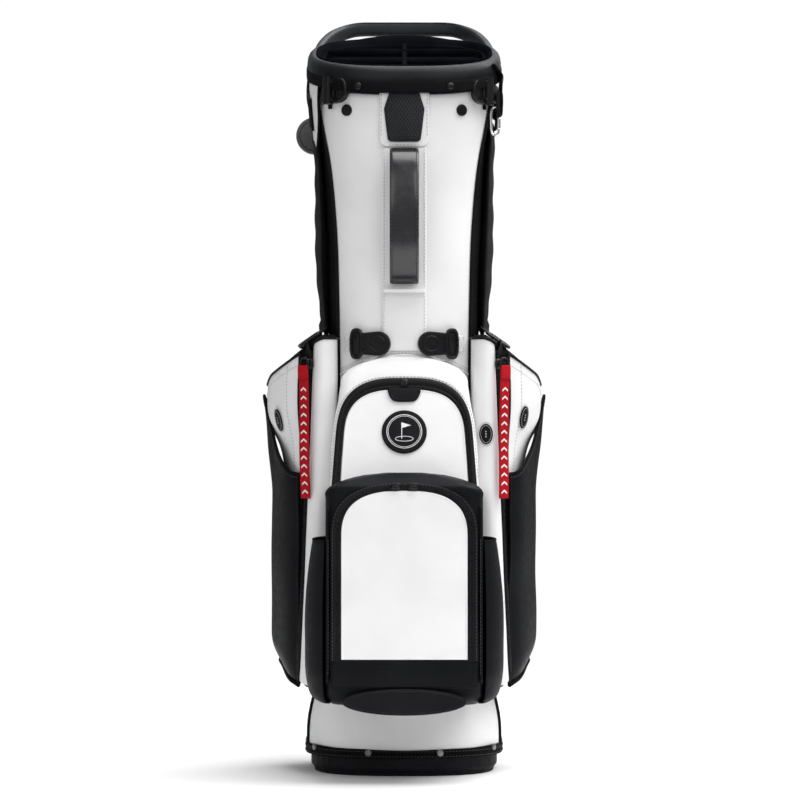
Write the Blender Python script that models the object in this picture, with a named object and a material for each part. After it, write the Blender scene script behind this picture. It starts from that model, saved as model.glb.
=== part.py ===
"""A walking golf bag: a soft tube on a moulded base, with pockets, straps and two folding legs.

Metres, +Z up. The origin is the middle of the sole. The pockets and the carry handle face -Y,
the legs and the hip pad face +Y. "Left" is -X, as seen from in front.
"""

import math

import bmesh
import bpy
import numpy as np
from mathutils import Matrix, Vector

# ---- driving dimensions ------------------------------------------------------------------
GAP = 0.0004  # between pieces that touch
PANEL = 0.0025  # thickness of a sewn panel
BODY_POWER = 2.6  # squareness of the tube's outline, 2 is an ellipse

BODY_HALF_WIDTH = (
    (0.022, 0.1155), (0.06, 0.1150), (0.10, 0.1090), (0.20, 0.0980), (0.40, 0.0920),
    (0.60, 0.0930), (0.72, 0.0985), (0.80, 0.1060), (0.86, 0.1105), (0.92, 0.1120),
)
BODY_HALF_DEPTH = (
    (0.022, 0.1045), (0.06, 0.1040), (0.12, 0.0985), (0.30, 0.0920), (0.60, 0.0940),
    (0.74, 0.0985), (0.82, 0.1055), (0.86, 0.1080), (0.92, 0.1095),
)
SEAM_X = (  # where the piping between front and side panels runs
    (0.022, 0.1140), (0.06, 0.1120), (0.10, 0.1040), (0.20, 0.0880), (0.40, 0.0785),
    (0.56, 0.0785), (0.66, 0.0820), (0.73, 0.0890), (0.78, 0.0980), (0.82, 0.1040), (0.92, 0.1050),
)
BACK_SEAM_X = 0.066

LIP_HEIGHT = 0.867  # of the collar's top edge above the origin
LIP_SLOPE = 0.255  # the collar rises to the rear
COLLAR_HALF_WIDTH = 0.1155
COLLAR_HALF_DEPTH = 0.1125
COLLAR_DEPTH = 0.029
COLLAR_WALL = 0.016

SOLE_THICK = 0.0042
BOOT_HALF_WIDTH = 0.1125
BOOT_HALF_DEPTH = 0.1015
BOOT_TOP = 0.0228
BOOT_WALL_TOP = 0.055
PANEL_LOW = 0.0238
BAND_TOP = 0.036

POCKET_LOW = 0.108  # side pockets
POCKET_TOP = 0.523
POCKET_ZIP_Y = -0.078
ZIP_TOP = 0.5025

BALL_FRONT = -0.198
BALL_HALF_WIDTH = 0.0915
BALL_ARC_Z = 0.2047  # the ball pocket's sliders travel about this height
LEDGE = 0.332  # the ball pocket steps forward above this height
VALUABLES_BASE = Vector((0.0, -0.150, 0.355))
VALUABLES_LEAN = math.atan(0.326)

LEG_PIVOT_Z = 0.836
LEG_SPLAY = math.radians(25)
LEG_RADIUS = 0.0065
LEG_LOW = 0.146
LEG_FOOT_LOW = 0.100
CRANK = 0.022  # from the leg's pin to its cross pin
ROD_RADIUS = 0.0025
ROD_X = 0.030
ROD_Y = 0.1190
LEVER_PIN = Vector((0.0, 0.047, 0.0095))
LEVER_HALF_WIDTH = 0.0450
NOTCH_HALF_WIDTH = 0.0480

ROW_WALL_Y = 0.0330
WEB = 0.0016  # thickness of a fabric divider

# ---- materials ---------------------------------------------------------------------------
FINISHES = {
    "white_leatherette": ((0.84, 0.84, 0.84), 0.50, 0.0),
    "black_leatherette": ((0.012, 0.013, 0.015), 0.50, 0.0),
    "black_mesh": ((0.010, 0.010, 0.012), 0.90, 0.0),
    "black_nylon": ((0.013, 0.013, 0.015), 0.80, 0.0),
    "black_plastic": ((0.010, 0.010, 0.011), 0.35, 0.0),
    "black_rubber": ((0.014, 0.014, 0.015), 0.65, 0.0),
    "glossy_strap": ((0.008, 0.008, 0.009), 0.22, 0.0),
    "lining": ((0.012, 0.014, 0.022), 0.95, 0.0),
    "red_webbing": ((0.62, 0.010, 0.018), 0.60, 0.0),
    "white_print": ((0.90, 0.90, 0.90), 0.50, 0.0),
    "chrome": ((0.80, 0.80, 0.80), 0.15, 1.0),
    "black_aluminium": ((0.020, 0.020, 0.022), 0.35, 0.8),
    "steel": ((0.45, 0.45, 0.46), 0.30, 1.0),
    "zip_black": ((0.008, 0.008, 0.009), 0.45, 0.0),
}


def make_materials():
    made = {}
    for name, (colour, rough, metal) in FINISHES.items():
        material = bpy.data.materials.new(name)
        material.use_nodes = True
        shader = material.node_tree.nodes["Principled BSDF"]
        shader.inputs["Base Color"].default_value = (*colour, 1.0)
        shader.inputs["Roughness"].default_value = rough
        shader.inputs["Metallic"].default_value = metal
        made[name] = material
    return made


# ---- curves and outlines -----------------------------------------------------------------
def profile(knots, at):
    """The value at a height on a smooth curve through a few (height, value) knots."""
    heights = np.array([k[0] for k in knots])
    values = np.array([k[1] for k in knots])
    if at <= heights[0]:
        return float(values[0])
    if at >= heights[-1]:
        return float(values[-1])
    slopes = np.gradient(values, heights)
    i = int(np.searchsorted(heights, at, side="right")) - 1
    span = heights[i + 1] - heights[i]
    t = (at - heights[i]) / span
    return float(
        values[i] * (1 + 2 * t) * (1 - t) ** 2
        + values[i + 1] * t * t * (3 - 2 * t)
        + span * slopes[i] * t * (1 - t) ** 2
        - span * slopes[i + 1] * t * t * (1 - t)
    )


def smooth_through(points, count):
    """count points on a Catmull-Rom curve through the given ones."""
    ends = [points[0] * 2 - points[1], *points, points[-1] * 2 - points[-2]]
    found = []
    for k in range(count):
        s = k / (count - 1) * (len(points) - 1)
        i = min(int(s), len(points) - 2)
        t = s - i
        a, b, c, d = ends[i : i + 4]
        found.append(0.5 * (2 * b + (c - a) * t + (2 * a - 5 * b + 4 * c - d) * t * t
                            + (3 * b - a - 3 * c + d) * t ** 3))
    return found


def superellipse(angle, half_width, half_depth, offset=0.0, power=BODY_POWER):
    """A point of the outline at that angle, moved outwards by offset along its normal."""
    c, s = math.cos(angle), math.sin(angle)
    x = half_width * math.copysign(abs(c) ** (2 / power), c)
    y = half_depth * math.copysign(abs(s) ** (2 / power), s)
    nx = math.copysign(abs(c) ** (2 - 2 / power), c) / half_width
    ny = math.copysign(abs(s) ** (2 - 2 / power), s) / half_depth
    length = math.hypot(nx, ny)
    return x + offset * nx / length, y + offset * ny / length


def body_point(angle, z, offset=0.0):
    half = profile(BODY_HALF_WIDTH, z), profile(BODY_HALF_DEPTH, z)
    x, y = superellipse(angle, *half, offset)
    return Vector((x, y, z))


def angle_at(x, z, rear=False):
    """The outline angle where the tube is |x| wide at that height, on the +X side."""
    ratio = min(0.9999, abs(x) / profile(BODY_HALF_WIDTH, z))
    angle = math.acos(ratio ** (BODY_POWER / 2))
    return angle if rear else -angle


def lip(y):
    return LIP_HEIGHT + LIP_SLOPE * y


def body_height(share, angle):
    """Height of a body point: share 0 is the panels' low edge, 1 the edge under the collar."""
    _, y = superellipse(angle, COLLAR_HALF_WIDTH, COLLAR_HALF_DEPTH)
    return PANEL_LOW + share * (lip(y) - COLLAR_DEPTH - 0.0022 - PANEL_LOW)


def seam_angle(share):
    """The front seam's outline angle on the +X side."""
    angle = -1.0
    for _ in range(6):
        z = body_height(share, angle)
        angle = angle_at(profile(SEAM_X, z), z)
    return angle


def back_seam_angle(share):
    angle = 1.0
    for _ in range(6):
        z = body_height(share, angle)
        angle = angle_at(BACK_SEAM_X, z, rear=True)
    return angle


def blend(a, b, t):
    return a + (b - a) * t


# ---- mesh building -----------------------------------------------------------------------
class Kit:
    """Holds the materials and the empties that the pieces hang from."""

    materials = {}
    bodies = {}


def mesh_object(name, bm, finish, origin=(0, 0, 0), body="bag"):
    bmesh.ops.remove_doubles(bm, verts=bm.verts, dist=1e-6)
    bmesh.ops.recalc_face_normals(bm, faces=bm.faces)
    origin = Vector(origin)
    bmesh.ops.translate(bm, verts=bm.verts, vec=-origin)
    mesh = bpy.data.meshes.new(name)
    bm.to_mesh(mesh)
    bm.free()
    mesh.materials.append(Kit.materials[finish])
    mesh.shade_smooth()
    mesh.set_sharp_from_angle(angle=math.radians(35))
    obj = bpy.data.objects.new(name, mesh)
    bpy.context.scene.collection.objects.link(obj)
    place(obj, origin, body)
    return obj


def place(obj, origin, body):
    """Hangs obj from its body's empty, with obj's own origin at that point."""
    parent = Kit.bodies[body]
    obj.parent = parent
    obj.location = origin - parent.location
    return obj


def loft(name, rings, finish, closed=False, **where):
    """A solid whose surface joins a row of rings, capped at both ends or closed on itself."""
    bm = bmesh.new()
    rows = [[bm.verts.new(p) for p in ring] for ring in rings]
    pairs = list(zip(rows, rows[1:]))
    if closed:
        pairs.append((rows[-1], rows[0]))
    for low, high in pairs:
        for i in range(len(low)):
            j = (i + 1) % len(low)
            bm.faces.new((low[i], low[j], high[j], high[i]))
    if not closed:
        bm.faces.new(rows[0][::-1])
        bm.faces.new(rows[-1])
    return mesh_object(name, bm, finish, **where)


def slab(name, outline, thick, finish, frame=None, bevel=0.0, **where):
    """A flat outline, in the frame's XY plane, extruded along the frame's +Z."""
    frame = frame or Matrix.Identity(4)
    bm = bmesh.new()
    face = bm.faces.new([bm.verts.new((x, y, 0)) for x, y in outline])
    grown = bmesh.ops.extrude_face_region(bm, geom=[face])["geom"]
    top = [v for v in grown if isinstance(v, bmesh.types.BMVert)]
    bmesh.ops.translate(bm, verts=top, vec=(0, 0, thick))
    if bevel:
        rim = [e for e in bm.edges if all(v in top for v in e.verts)]
        bmesh.ops.bevel(bm, geom=rim, offset=bevel, segments=1, affect="EDGES")
    bmesh.ops.transform(bm, matrix=frame, verts=bm.verts)
    return mesh_object(name, bm, finish, **where)


def box(name, low, high, finish, bevel=0.0, **where):
    low, high = Vector(low), Vector(high)
    bm = bmesh.new()
    size = Matrix.Diagonal((*(high - low), 1.0))
    bmesh.ops.create_cube(bm, size=1.0, matrix=Matrix.Translation((low + high) / 2) @ size)
    if bevel:
        bmesh.ops.bevel(bm, geom=bm.edges[:], offset=bevel, segments=1, affect="EDGES")
    return mesh_object(name, bm, finish, **where)


def rod(name, start, end, radius, finish, sides=16, end_radius=None, bevel=0.0, **where):
    start, end = Vector(start), Vector(end)
    along = end - start
    turn = along.to_track_quat("Z", "Y").to_matrix().to_4x4()
    bm = bmesh.new()
    bmesh.ops.create_cone(
        bm, cap_ends=True, segments=sides, radius1=radius,
        radius2=radius if end_radius is None else end_radius, depth=along.length,
        matrix=Matrix.Translation((start + end) / 2) @ turn,
    )
    if bevel:
        rims = [e for e in bm.edges if any(len(f.verts) > 4 for f in e.link_faces)]
        bmesh.ops.bevel(bm, geom=rims, offset=bevel, segments=2, affect="EDGES")
    return mesh_object(name, bm, finish, **where)


def wire(name, points, radius, finish, resolution=2, cyclic=False, body="bag", origin=(0, 0, 0)):
    """A round bar along a line of points."""
    origin = Vector(origin)
    curve = bpy.data.curves.new(name, "CURVE")
    curve.dimensions = "3D"
    curve.bevel_depth = radius
    curve.bevel_resolution = resolution
    curve.use_fill_caps = not cyclic
    spline = curve.splines.new("POLY")
    spline.points.add(len(points) - 1)
    for slot, point in zip(spline.points, points):
        slot.co = (*(Vector(point) - origin), 1.0)
    spline.use_cyclic_u = cyclic
    curve.materials.append(Kit.materials[finish])
    obj = bpy.data.objects.new(name, curve)
    bpy.context.scene.collection.objects.link(obj)
    return place(obj, origin, body)


def helper(obj):
    """Keeps a cutter or an added shape out of the model."""
    obj.hide_render = True
    obj.display_type = "WIRE"
    return obj


def combine(obj, tool, operation):
    modifier = obj.modifiers.new(operation.title(), "BOOLEAN")
    modifier.operation = operation
    modifier.solver = "EXACT"
    modifier.object = helper(tool)
    return obj


def hug(name, angles, shares, inner, outer, finish, rows, columns, **where):
    """A sheet that follows the tube, between two angles and two shares of its height.

    angles gives (first, last) for a share of the height.
    """
    rings = []
    for r in range(rows + 1):
        share = blend(*shares, r / rows)
        first, last = angles(share)
        steps = [blend(first, last, c / columns) for c in range(columns + 1)]
        outside = [body_point(a, body_height(share, a), outer) for a in steps]
        inside = [body_point(a, body_height(share, a), inner) for a in reversed(steps)]
        rings.append(outside + inside)
    return loft(name, rings, finish, **where)


def front_sheet(name, half_width, low, high, inner, outer, finish, rows=6, columns=6, **where):
    """A sheet on the tube's front, between two heights, half_width a function of the height."""
    rings = []
    for r in range(rows + 1):
        z = blend(low, high, r / rows)
        edge = angle_at(half_width(z), z)
        steps = [blend(-math.pi - edge, edge, c / columns) for c in range(columns + 1)]
        outside = [body_point(a, z, outer) for a in steps]
        inside = [body_point(a, z, inner) for a in reversed(steps)]
        rings.append(outside + inside)
    return loft(name, rings, finish, **where)


def hoop(name, count, section, finish, **where):
    """A closed ring: section gives its cross-section's points for an outline angle."""
    rings = [section(2 * math.pi * k / count) for k in range(count)]
    return loft(name, rings, finish, closed=True, **where)


def front_y(x, z, offset=0.0):
    """The y of the tube's front surface at x."""
    return body_point(angle_at(x, z), z, offset).y


# ---- base --------------------------------------------------------------------------------
def base_outline(half_width, half_depth, z, count=44):
    return [Vector((*superellipse(2 * math.pi * k / count, half_width, half_depth), z))
            for k in range(count)]


def body_outline(offset, z, count=44):
    return [body_point(2 * math.pi * k / count, PANEL_LOW, offset).xy.to_3d() + Vector((0, 0, z))
            for k in range(count)]


def notch_box(name, low, high):
    return box(name, (-NOTCH_HALF_WIDTH, 0.0405, low), (NOTCH_HALF_WIDTH, 0.1400, high), "black_plastic")


def make_base():
    sole = loft("rubber_sole", [
        base_outline(BOOT_HALF_WIDTH - 0.0045, BOOT_HALF_DEPTH - 0.0045, 0.0),
        base_outline(BOOT_HALF_WIDTH - 0.0035, BOOT_HALF_DEPTH - 0.0035, SOLE_THICK),
    ], "black_rubber")
    combine(sole, notch_box("sole_notch", -0.01, 0.02), "DIFFERENCE")

    inner = -PANEL - 0.0030  # the panels' flats cut inside the true curve
    boot = loft("base_boot", [
        base_outline(BOOT_HALF_WIDTH - 0.0030, BOOT_HALF_DEPTH - 0.0030, SOLE_THICK + GAP),
        base_outline(BOOT_HALF_WIDTH, BOOT_HALF_DEPTH, 0.0090),
        base_outline(BOOT_HALF_WIDTH, BOOT_HALF_DEPTH, BOOT_TOP),
        body_outline(inner, BOOT_TOP + 0.0001),
        body_outline(inner, BOOT_WALL_TOP),
        body_outline(inner - 0.0030, BOOT_WALL_TOP),
        body_outline(inner - 0.0030, 0.0120),
    ], "black_plastic")
    roof = box("lever_housing", (-0.0540, 0.0360, 0.0060), (0.0540, 0.0935, 0.0370), "black_plastic")
    combine(boot, roof, "UNION")
    combine(boot, notch_box("boot_notch", -0.01, 0.0310), "DIFFERENCE")
    pin = rod("lever_pin", LEVER_PIN - Vector((0.0510, 0, 0)), LEVER_PIN + Vector((0.0510, 0, 0)), 0.0019,
              "steel", sides=12)
    combine(boot, pin, "UNION")

    def section(angle):
        rows = ((GAP, PANEL_LOW - 0.0002), (0.0032, PANEL_LOW - 0.0002), (0.0032, BAND_TOP - 0.001),
                (0.0020, BAND_TOP), (GAP, BAND_TOP))
        return [body_point(angle, PANEL_LOW, off).xy.to_3d() + Vector((0, 0, z)) for off, z in rows]

    band = hoop("base_hem_band", 44, section, "black_nylon")
    rivet_angles = [-math.pi / 2 + side * turn for side in (-1, 1) for turn in (0.27, 1.05, 1.72, 2.44)]
    for k, angle in enumerate(rivet_angles):
        root = body_point(angle, PANEL_LOW, 0.0020)
        out = body_point(angle, PANEL_LOW, 0.0050)
        root.z = out.z = 0.0300
        combine(band, rod(f"band_rivet_{k + 1}", root, out, 0.0040, "steel", sides=10), "UNION")
    return band


# ---- tube --------------------------------------------------------------------------------
SEAM_GAP = 0.004  # radians between neighbouring panels


def make_panels():
    def front(share):
        edge = seam_angle(share)
        return -math.pi - edge + SEAM_GAP, edge - SEAM_GAP

    def right(share):
        return seam_angle(share) + SEAM_GAP, back_seam_angle(share) - SEAM_GAP

    def left(share):
        first, last = right(share)
        return math.pi - last, math.pi - first

    def back(share):
        edge = back_seam_angle(share)
        return edge + SEAM_GAP, math.pi - edge - SEAM_GAP

    hug("front_panel", front, (0, 1), -PANEL, 0, "white_leatherette", 16, 10)
    hug("right_side_panel", right, (0, 1), -PANEL, 0, "black_nylon", 16, 6)
    hug("left_side_panel", left, (0, 1), -PANEL, 0, "black_nylon", 16, 6)
    hug("back_panel", back, (0, 1), -PANEL, 0, "black_nylon", 16, 6)


def make_stays():
    """Two bars inside the tube hold the collar off the base."""
    for name, angle in (("stay_rod_left", math.pi), ("stay_rod_right", 0.0)):
        _, collar_y = superellipse(angle, COLLAR_HALF_WIDTH, COLLAR_HALF_DEPTH)
        top = lip(collar_y * 0.93) - COLLAR_DEPTH - 0.0030
        low = BOOT_WALL_TOP + 0.0005
        points = []
        for k in range(13):
            z = blend(low, top, k / 12)
            points.append(body_point(angle, z, -PANEL - 0.0050))
        wire(name, points, 0.0028, "black_aluminium", resolution=1)


# ---- collar, dividers, grab handle -------------------------------------------------------
def collar_point(angle, offset, height):
    x, y = superellipse(angle, COLLAR_HALF_WIDTH, COLLAR_HALF_DEPTH, offset)
    return Vector((x, y, lip(y) + height))


def make_collar():
    wall = -COLLAR_WALL
    shape = ((0.0, -COLLAR_DEPTH), (0.0010, -0.0100), (-0.0010, -0.0030), (-0.0070, 0.0),
             (-0.0120, -0.0020), (wall, -0.0100), (wall, -COLLAR_DEPTH))
    collar = hoop("top_collar", 44, lambda a: [collar_point(a, off, h) for off, h in shape], "black_rubber")
    add_grab_handle(collar)


CELL_INSET = -COLLAR_WALL - 0.0045


def cell_outline(side, row):
    """Plan outline of one of the six compartments: side -1 or 1, row -1 front to 1 rear."""
    half_width = COLLAR_HALF_WIDTH + CELL_INSET
    half_depth = COLLAR_HALF_DEPTH + CELL_INSET
    inner_x, half_bar = 0.0022, 0.0022
    low = ROW_WALL_Y + half_bar if row else -ROW_WALL_Y + half_bar

    def angle_of(y):
        return math.asin(min(1.0, abs(y) / half_depth) ** (BODY_POWER / 2)) * math.copysign(1, y)

    first = angle_of(low)
    if row:
        last = math.acos((inner_x / half_width) ** (BODY_POWER / 2))
        corner = [(inner_x, low)]
    else:
        last = -first
        corner = [(inner_x, -low), (inner_x, low)]
    arc = [superellipse(blend(first, last, k / 7), half_width, half_depth) for k in range(8)]
    points = corner + arc
    flip = -1 if row < 0 else 1
    return [(side * x, flip * y) for x, y in points]


def make_divider():
    half_width = COLLAR_HALF_WIDTH - COLLAR_WALL - GAP
    half_depth = COLLAR_HALF_DEPTH - COLLAR_WALL - GAP
    rings = []
    for drop in (0.0310, 0.0060):
        outline = base_outline(half_width, half_depth, 0.0, 40)
        rings.append([Vector((p.x, p.y, lip(p.y) - drop)) for p in outline])
    divider = loft("top_divider", rings, "black_rubber")
    for side in (-1, 1):
        for row in (-1, 0, 1):
            lift = Matrix.Translation((0, 0, 0.78))
            cutter = slab(f"cell_cutter_{side}_{row}", cell_outline(side, row), 0.16, "lining", frame=lift)
            combine(divider, cutter, "DIFFERENCE")


def make_divider_walls():
    """Fabric walls from the base to the top divider: two across the tube and one down its middle."""
    half, reach, end = WEB / 2, 0.0840, 0.0810
    quarter = [(half, end), (half, ROW_WALL_Y + half), (reach, ROW_WALL_Y + half),
               (reach, ROW_WALL_Y - half), (half, ROW_WALL_Y - half)]
    right = quarter + [(x, -y) for x, y in reversed(quarter)]
    outline = right + [(-x, y) for x, y in reversed(right)]
    base = [Vector((x, y, 0.0385)) for x, y in outline]
    top = [Vector((x, y, lip(y) - 0.0320)) for x, y in outline]
    loft("divider_walls", [base, top], "lining")


def swept(name, path, half_thick, half_tall, finish, **where):
    """A strap of rounded section along a path, its broad side upright."""
    rings = []
    for i, point in enumerate(path):
        ahead = (path[min(i + 1, len(path) - 1)] - path[max(i - 1, 0)]).normalized()
        out = ahead.cross(Vector((0, 0, 1))).normalized()
        up = out.cross(ahead).normalized()
        ring = []
        for k in range(8):
            angle = 2 * math.pi * (k + 0.5) / 8
            u, v = superellipse(angle, half_thick, half_tall, power=3.4)
            ring.append(point + out * u + up * v)
        rings.append(ring)
    return loft(name, rings, finish, **where)


def add_grab_handle(collar):
    """The moulded bar that stands behind the collar and runs into its two sides."""
    half = [Vector((0.0965, 0.0560, 0.8660)), Vector((0.0975, 0.0860, 0.8820)),
            Vector((0.0935, 0.1160, 0.8970)), Vector((0.0720, 0.1370, 0.9062)),
            Vector((0.0400, 0.1440, 0.9080)), Vector((0.0, 0.1455, 0.9082))]
    mirrored_half = [Vector((-p.x, p.y, p.z)) for p in reversed(half[:-1])]
    handle = swept("grab_handle_bar", smooth_through(half + mirrored_half, 25), 0.0052, 0.0085, "black_rubber")
    combine(collar, handle, "UNION")


# ---- carry handle and the pieces on the spine --------------------------------------------
def make_spine():
    spine = front_sheet("spine_panel", lambda z: 0.0262, 0.503, 0.7440, GAP, 0.0020, "white_leatherette", 8, 4)
    patch = front_sheet("handle_patch", lambda z: 0.0292, 0.7446, 0.8085, GAP, 0.0030, "white_leatherette", 3, 4)
    hexagon = ((0.7520, 0.0180), (0.7560, 0.0192), (0.7890, 0.0233), (0.8080, 0.0165))
    badge = front_sheet("patch_badge", lambda z: profile(hexagon, z), 0.7520, 0.8080, 0.0020, 0.0062,
                        "black_rubber", 6, 4)
    combine(patch, badge, "UNION")
    loop = front_sheet("handle_anchor_loop", lambda z: 0.0235, 0.5730, 0.5755, 0.0010, 0.0120,
                       "white_leatherette", 1, 4)
    combine(spine, loop, "UNION")

    low, high, bow = 0.5765, 0.7490, 0.0290
    path = []
    for k in range(15):
        share = k / 14
        z = blend(low + 0.0085, high - 0.0085, share)
        rise = math.sin(math.pi * share) ** 0.6 if 0 < share < 1 else 0.0
        path.append(Vector((0, -profile(BODY_HALF_DEPTH, z) - 0.0062 - bow * rise, z)))
    rings = []
    for i, point in enumerate(path):
        ahead = (path[min(i + 1, 14)] - path[max(i - 1, 0)]).normalized()
        out = ahead.cross(Vector((1, 0, 0))).normalized()
        rings.append([point + Vector((x, 0, 0)) + out * t for x, t in
                      ((-0.0172, 0.0), (-0.0150, 0.0032), (0.0150, 0.0032), (0.0172, 0.0),
                       (0.0150, -0.0030), (-0.0150, -0.0030))])
    loft("carry_handle", rings, "glossy_strap")


# ---- clips -------------------------------------------------------------------------------
def mirrored(point, side):
    return Vector((side * point[0], point[1], point[2]))


def ring_loop(name, centre, across, up, half_width, half_height, radius, finish, **where):
    """A closed loop of round bar, with straight sides and round ends."""
    centre, across, up = Vector(centre), Vector(across).normalized(), Vector(up).normalized()
    points = []
    for k in range(16):
        u, v = superellipse(2 * math.pi * k / 16, half_width, half_height, power=3.0)
        points.append(centre + across * u + up * v)
    return wire(name, points, radius, finish, resolution=1, cyclic=True, **where)


LOWER_CLIP = Vector((0.0545, 0.0, 0.5120))  # its y is worked out from the tube's surface
CLIP_LEAN = math.radians(16)  # of the tab, which lies along the curved panel


def lower_clip_hinge(side):
    y = front_y(LOWER_CLIP.x, LOWER_CLIP.z, 0.0068)
    return Vector((side * LOWER_CLIP.x, y, LOWER_CLIP.z))


def make_lower_clip(side, name):
    """A D ring sewn to the panel, with a moulded tab that turns on its straight bar."""
    hinge = lower_clip_hinge(side)
    body = f"{name}_clip_tab"
    outward = Vector((side * math.cos(2 * CLIP_LEAN), math.sin(2 * CLIP_LEAN), 0))
    rear = Vector((-side * outward.y, side * outward.x, 0))
    half_height, reach = 0.0172, 0.0090
    points = [hinge + Vector((0, 0, -half_height)), hinge + Vector((0, 0, half_height))]
    for k in range(1, 10):
        u, v = superellipse(math.pi / 2 - math.pi * k / 10, reach, half_height, power=2.8)
        points.append(hinge + outward * u + Vector((0, 0, v)))
    ring = ring_to_mesh(wire(f"clip_ring_{name}", points, 0.0019, "black_plastic", 1, cyclic=True))
    rings = []
    for z in (-0.0095, 0.0095):
        lift = hinge + Vector((0, 0, z))
        rings.append([lift + outward * 0.0062 + rear * r for r in (-0.0012, 0.0012)]
                     + [lift + outward * 0.0200 + rear * r for r in (0.0044, 0.0020)])
    combine(ring, loft(f"clip_anchor_{name}", rings, "black_plastic"), "UNION")

    outline = []
    reach, half = 0.0340, 0.0135
    for k in range(13):
        angle = math.pi / 2 - math.pi * k / 12
        outline.append((reach - half + half * math.cos(angle), half * math.sin(angle)))
    outline += [(0.0020, -0.0120), (0.0020, 0.0120)]
    inward = Vector((-side * math.cos(CLIP_LEAN), -math.sin(CLIP_LEAN), 0))
    out = Vector((side * math.sin(CLIP_LEAN), -math.cos(CLIP_LEAN), 0))
    back = hinge - out * 0.0024
    frame = Matrix((
        (inward.x, 0, out.x, back.x), (inward.y, 0, out.y, back.y), (0, 1, 0, back.z), (0, 0, 0, 1)))
    tab = slab(f"clip_tab_{name}", outline, 0.0048, "black_plastic", frame=frame, bevel=0.0010,
               body=body, origin=hinge)
    eye = rod(f"clip_eye_{name}", hinge - Vector((0, 0, 0.0125)), hinge + Vector((0, 0, 0.0125)),
              0.0034, "black_plastic", sides=12)
    combine(tab, eye, "UNION")
    hole = rod(f"clip_hole_{name}", hinge - Vector((0, 0, 0.02)), hinge + Vector((0, 0, 0.02)),
               0.0022, "black_plastic", sides=12)
    combine(tab, hole, "DIFFERENCE")
    dish_centre = hinge + inward * (reach - half)
    dish = rod(f"clip_dish_{name}", dish_centre + out * 0.0010, dish_centre + out * 0.0060,
               0.0085, "black_plastic", sides=16)
    combine(tab, dish, "DIFFERENCE")


def ring_to_mesh(curve_object):
    """The same round bar as a mesh object, so that Booleans can add to it."""
    graph = bpy.context.evaluated_depsgraph_get()
    bpy.context.view_layer.update()
    mesh = bpy.data.meshes.new_from_object(curve_object.evaluated_get(graph))
    mesh.name = curve_object.name
    obj = bpy.data.objects.new(curve_object.name + "_mesh", mesh)
    obj.parent = curve_object.parent
    obj.location = curve_object.location
    bpy.context.scene.collection.objects.link(obj)
    name = curve_object.name
    bpy.data.objects.remove(curve_object)
    obj.name = name
    return obj


def make_upper_clip(side, name):
    """The same ring on the collar's corner, here with the shoulder strap hooked on."""
    z = 0.8060
    angle = angle_at(0.0860, z)
    centre = mirrored(body_point(angle, z, 0.0135), side)
    ahead = mirrored(body_point(angle + 0.15, z, 0.0135), side) - centre
    ring = ring_loop(f"strap_ring_{name}", centre, ahead, (0, 0, 1), 0.0095, 0.0175, 0.0024, "black_plastic")
    near = mirrored(body_point(angle + 0.09, z, 0.0155), side)
    far = mirrored(body_point(angle + 0.09, z, 0.0115), side)
    along = (mirrored(body_point(angle + 0.42, z, 0.0150), side) - near) * 0.95
    thick = far - near
    rings = []
    for v in (-0.0140, 0.0140):
        lift = Vector((0, 0, v))
        rings.append([near + lift, near + along + lift, near + along + thick + lift, near + thick + lift])
    combine(ring_to_mesh(ring), loft(f"strap_hook_{name}", rings, "black_plastic"), "UNION")


# ---- front pockets -----------------------------------------------------------------------
NECK = 0.0772  # half width of the front pockets where they pass between the side pockets
SHOULDER_Y = -0.0950


def pocket_ring(half_width, front, z, corner):
    """Plan outline of a front pocket: round front corners, a neck behind, and the tube's curve."""
    corner = min(corner, half_width * 0.9)
    shoulder = min(SHOULDER_Y, -0.0005 + front_y(min(half_width, NECK), z, 0.0016))
    neck = min(half_width - 0.0005, NECK)
    ring = [Vector((-half_width, shoulder, z))]
    for side in (-1, 1):
        centre = Vector((side * (half_width - corner), min(front + corner, shoulder - 0.0005)))
        for k in range(5):
            turn = math.pi / 2 * k / 4
            angle = math.pi + turn if side < 0 else 1.5 * math.pi + turn
            ring.append(Vector((centre.x + corner * math.cos(angle),
                                centre.y + (centre.y - front) * math.sin(angle), z)))
    ring.append(Vector((half_width, shoulder, z)))
    first = angle_at(neck, z)
    rear = [body_point(blend(first, -math.pi - first, k / 8), z, 0.0018) for k in range(9)]
    notch = Vector((min(half_width - 0.0002, neck + 0.0040), blend(shoulder, rear[0].y, 0.1), z))
    return ring + [notch] + rear + [mirrored(notch, -1)]


def make_valuables_pocket():
    rows = (  # height, half width, front y, corner
        (0.3345, 0.0870, -0.1500, 0.018), (0.3550, 0.0870, -0.1500, 0.018),
        (0.4000, 0.0850, -0.1355, 0.018), (0.4400, 0.0825, -0.1225, 0.018),
        (0.4680, 0.0780, -0.1133, 0.016), (0.4820, 0.0690, -0.1060, 0.012),
        (0.4920, 0.0520, -0.0985, 0.006), (0.4960, 0.0360, -0.0960, 0.003),
    )
    rings = [pocket_ring(w, f, z, c) for z, w, f, c in rows]
    loft("valuables_pocket", rings, "white_leatherette")


def arch(half_width, low, spring, top, power=2.35, count=14):
    """The outline of an arched door: straight sides up to spring, then a round top."""
    points = [(half_width, low)]
    for k in range(count + 1):
        x, y = superellipse(math.pi * k / count, half_width, top - spring, power=power)
        points.append((x, spring + y))
    points.append((-half_width, low))
    return points


def arch_band(inner, outer):
    return outer + inner[::-1]


def valuables_frame(stand):
    """Plane of the sloping pocket face: X across, Y up the slope, Z out of it."""
    lean = Matrix.Rotation(math.pi / 2 - VALUABLES_LEAN, 4, "X")
    flat = Matrix.Translation(VALUABLES_BASE) @ lean
    return flat @ Matrix.Translation((0, 0, stand))


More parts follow.
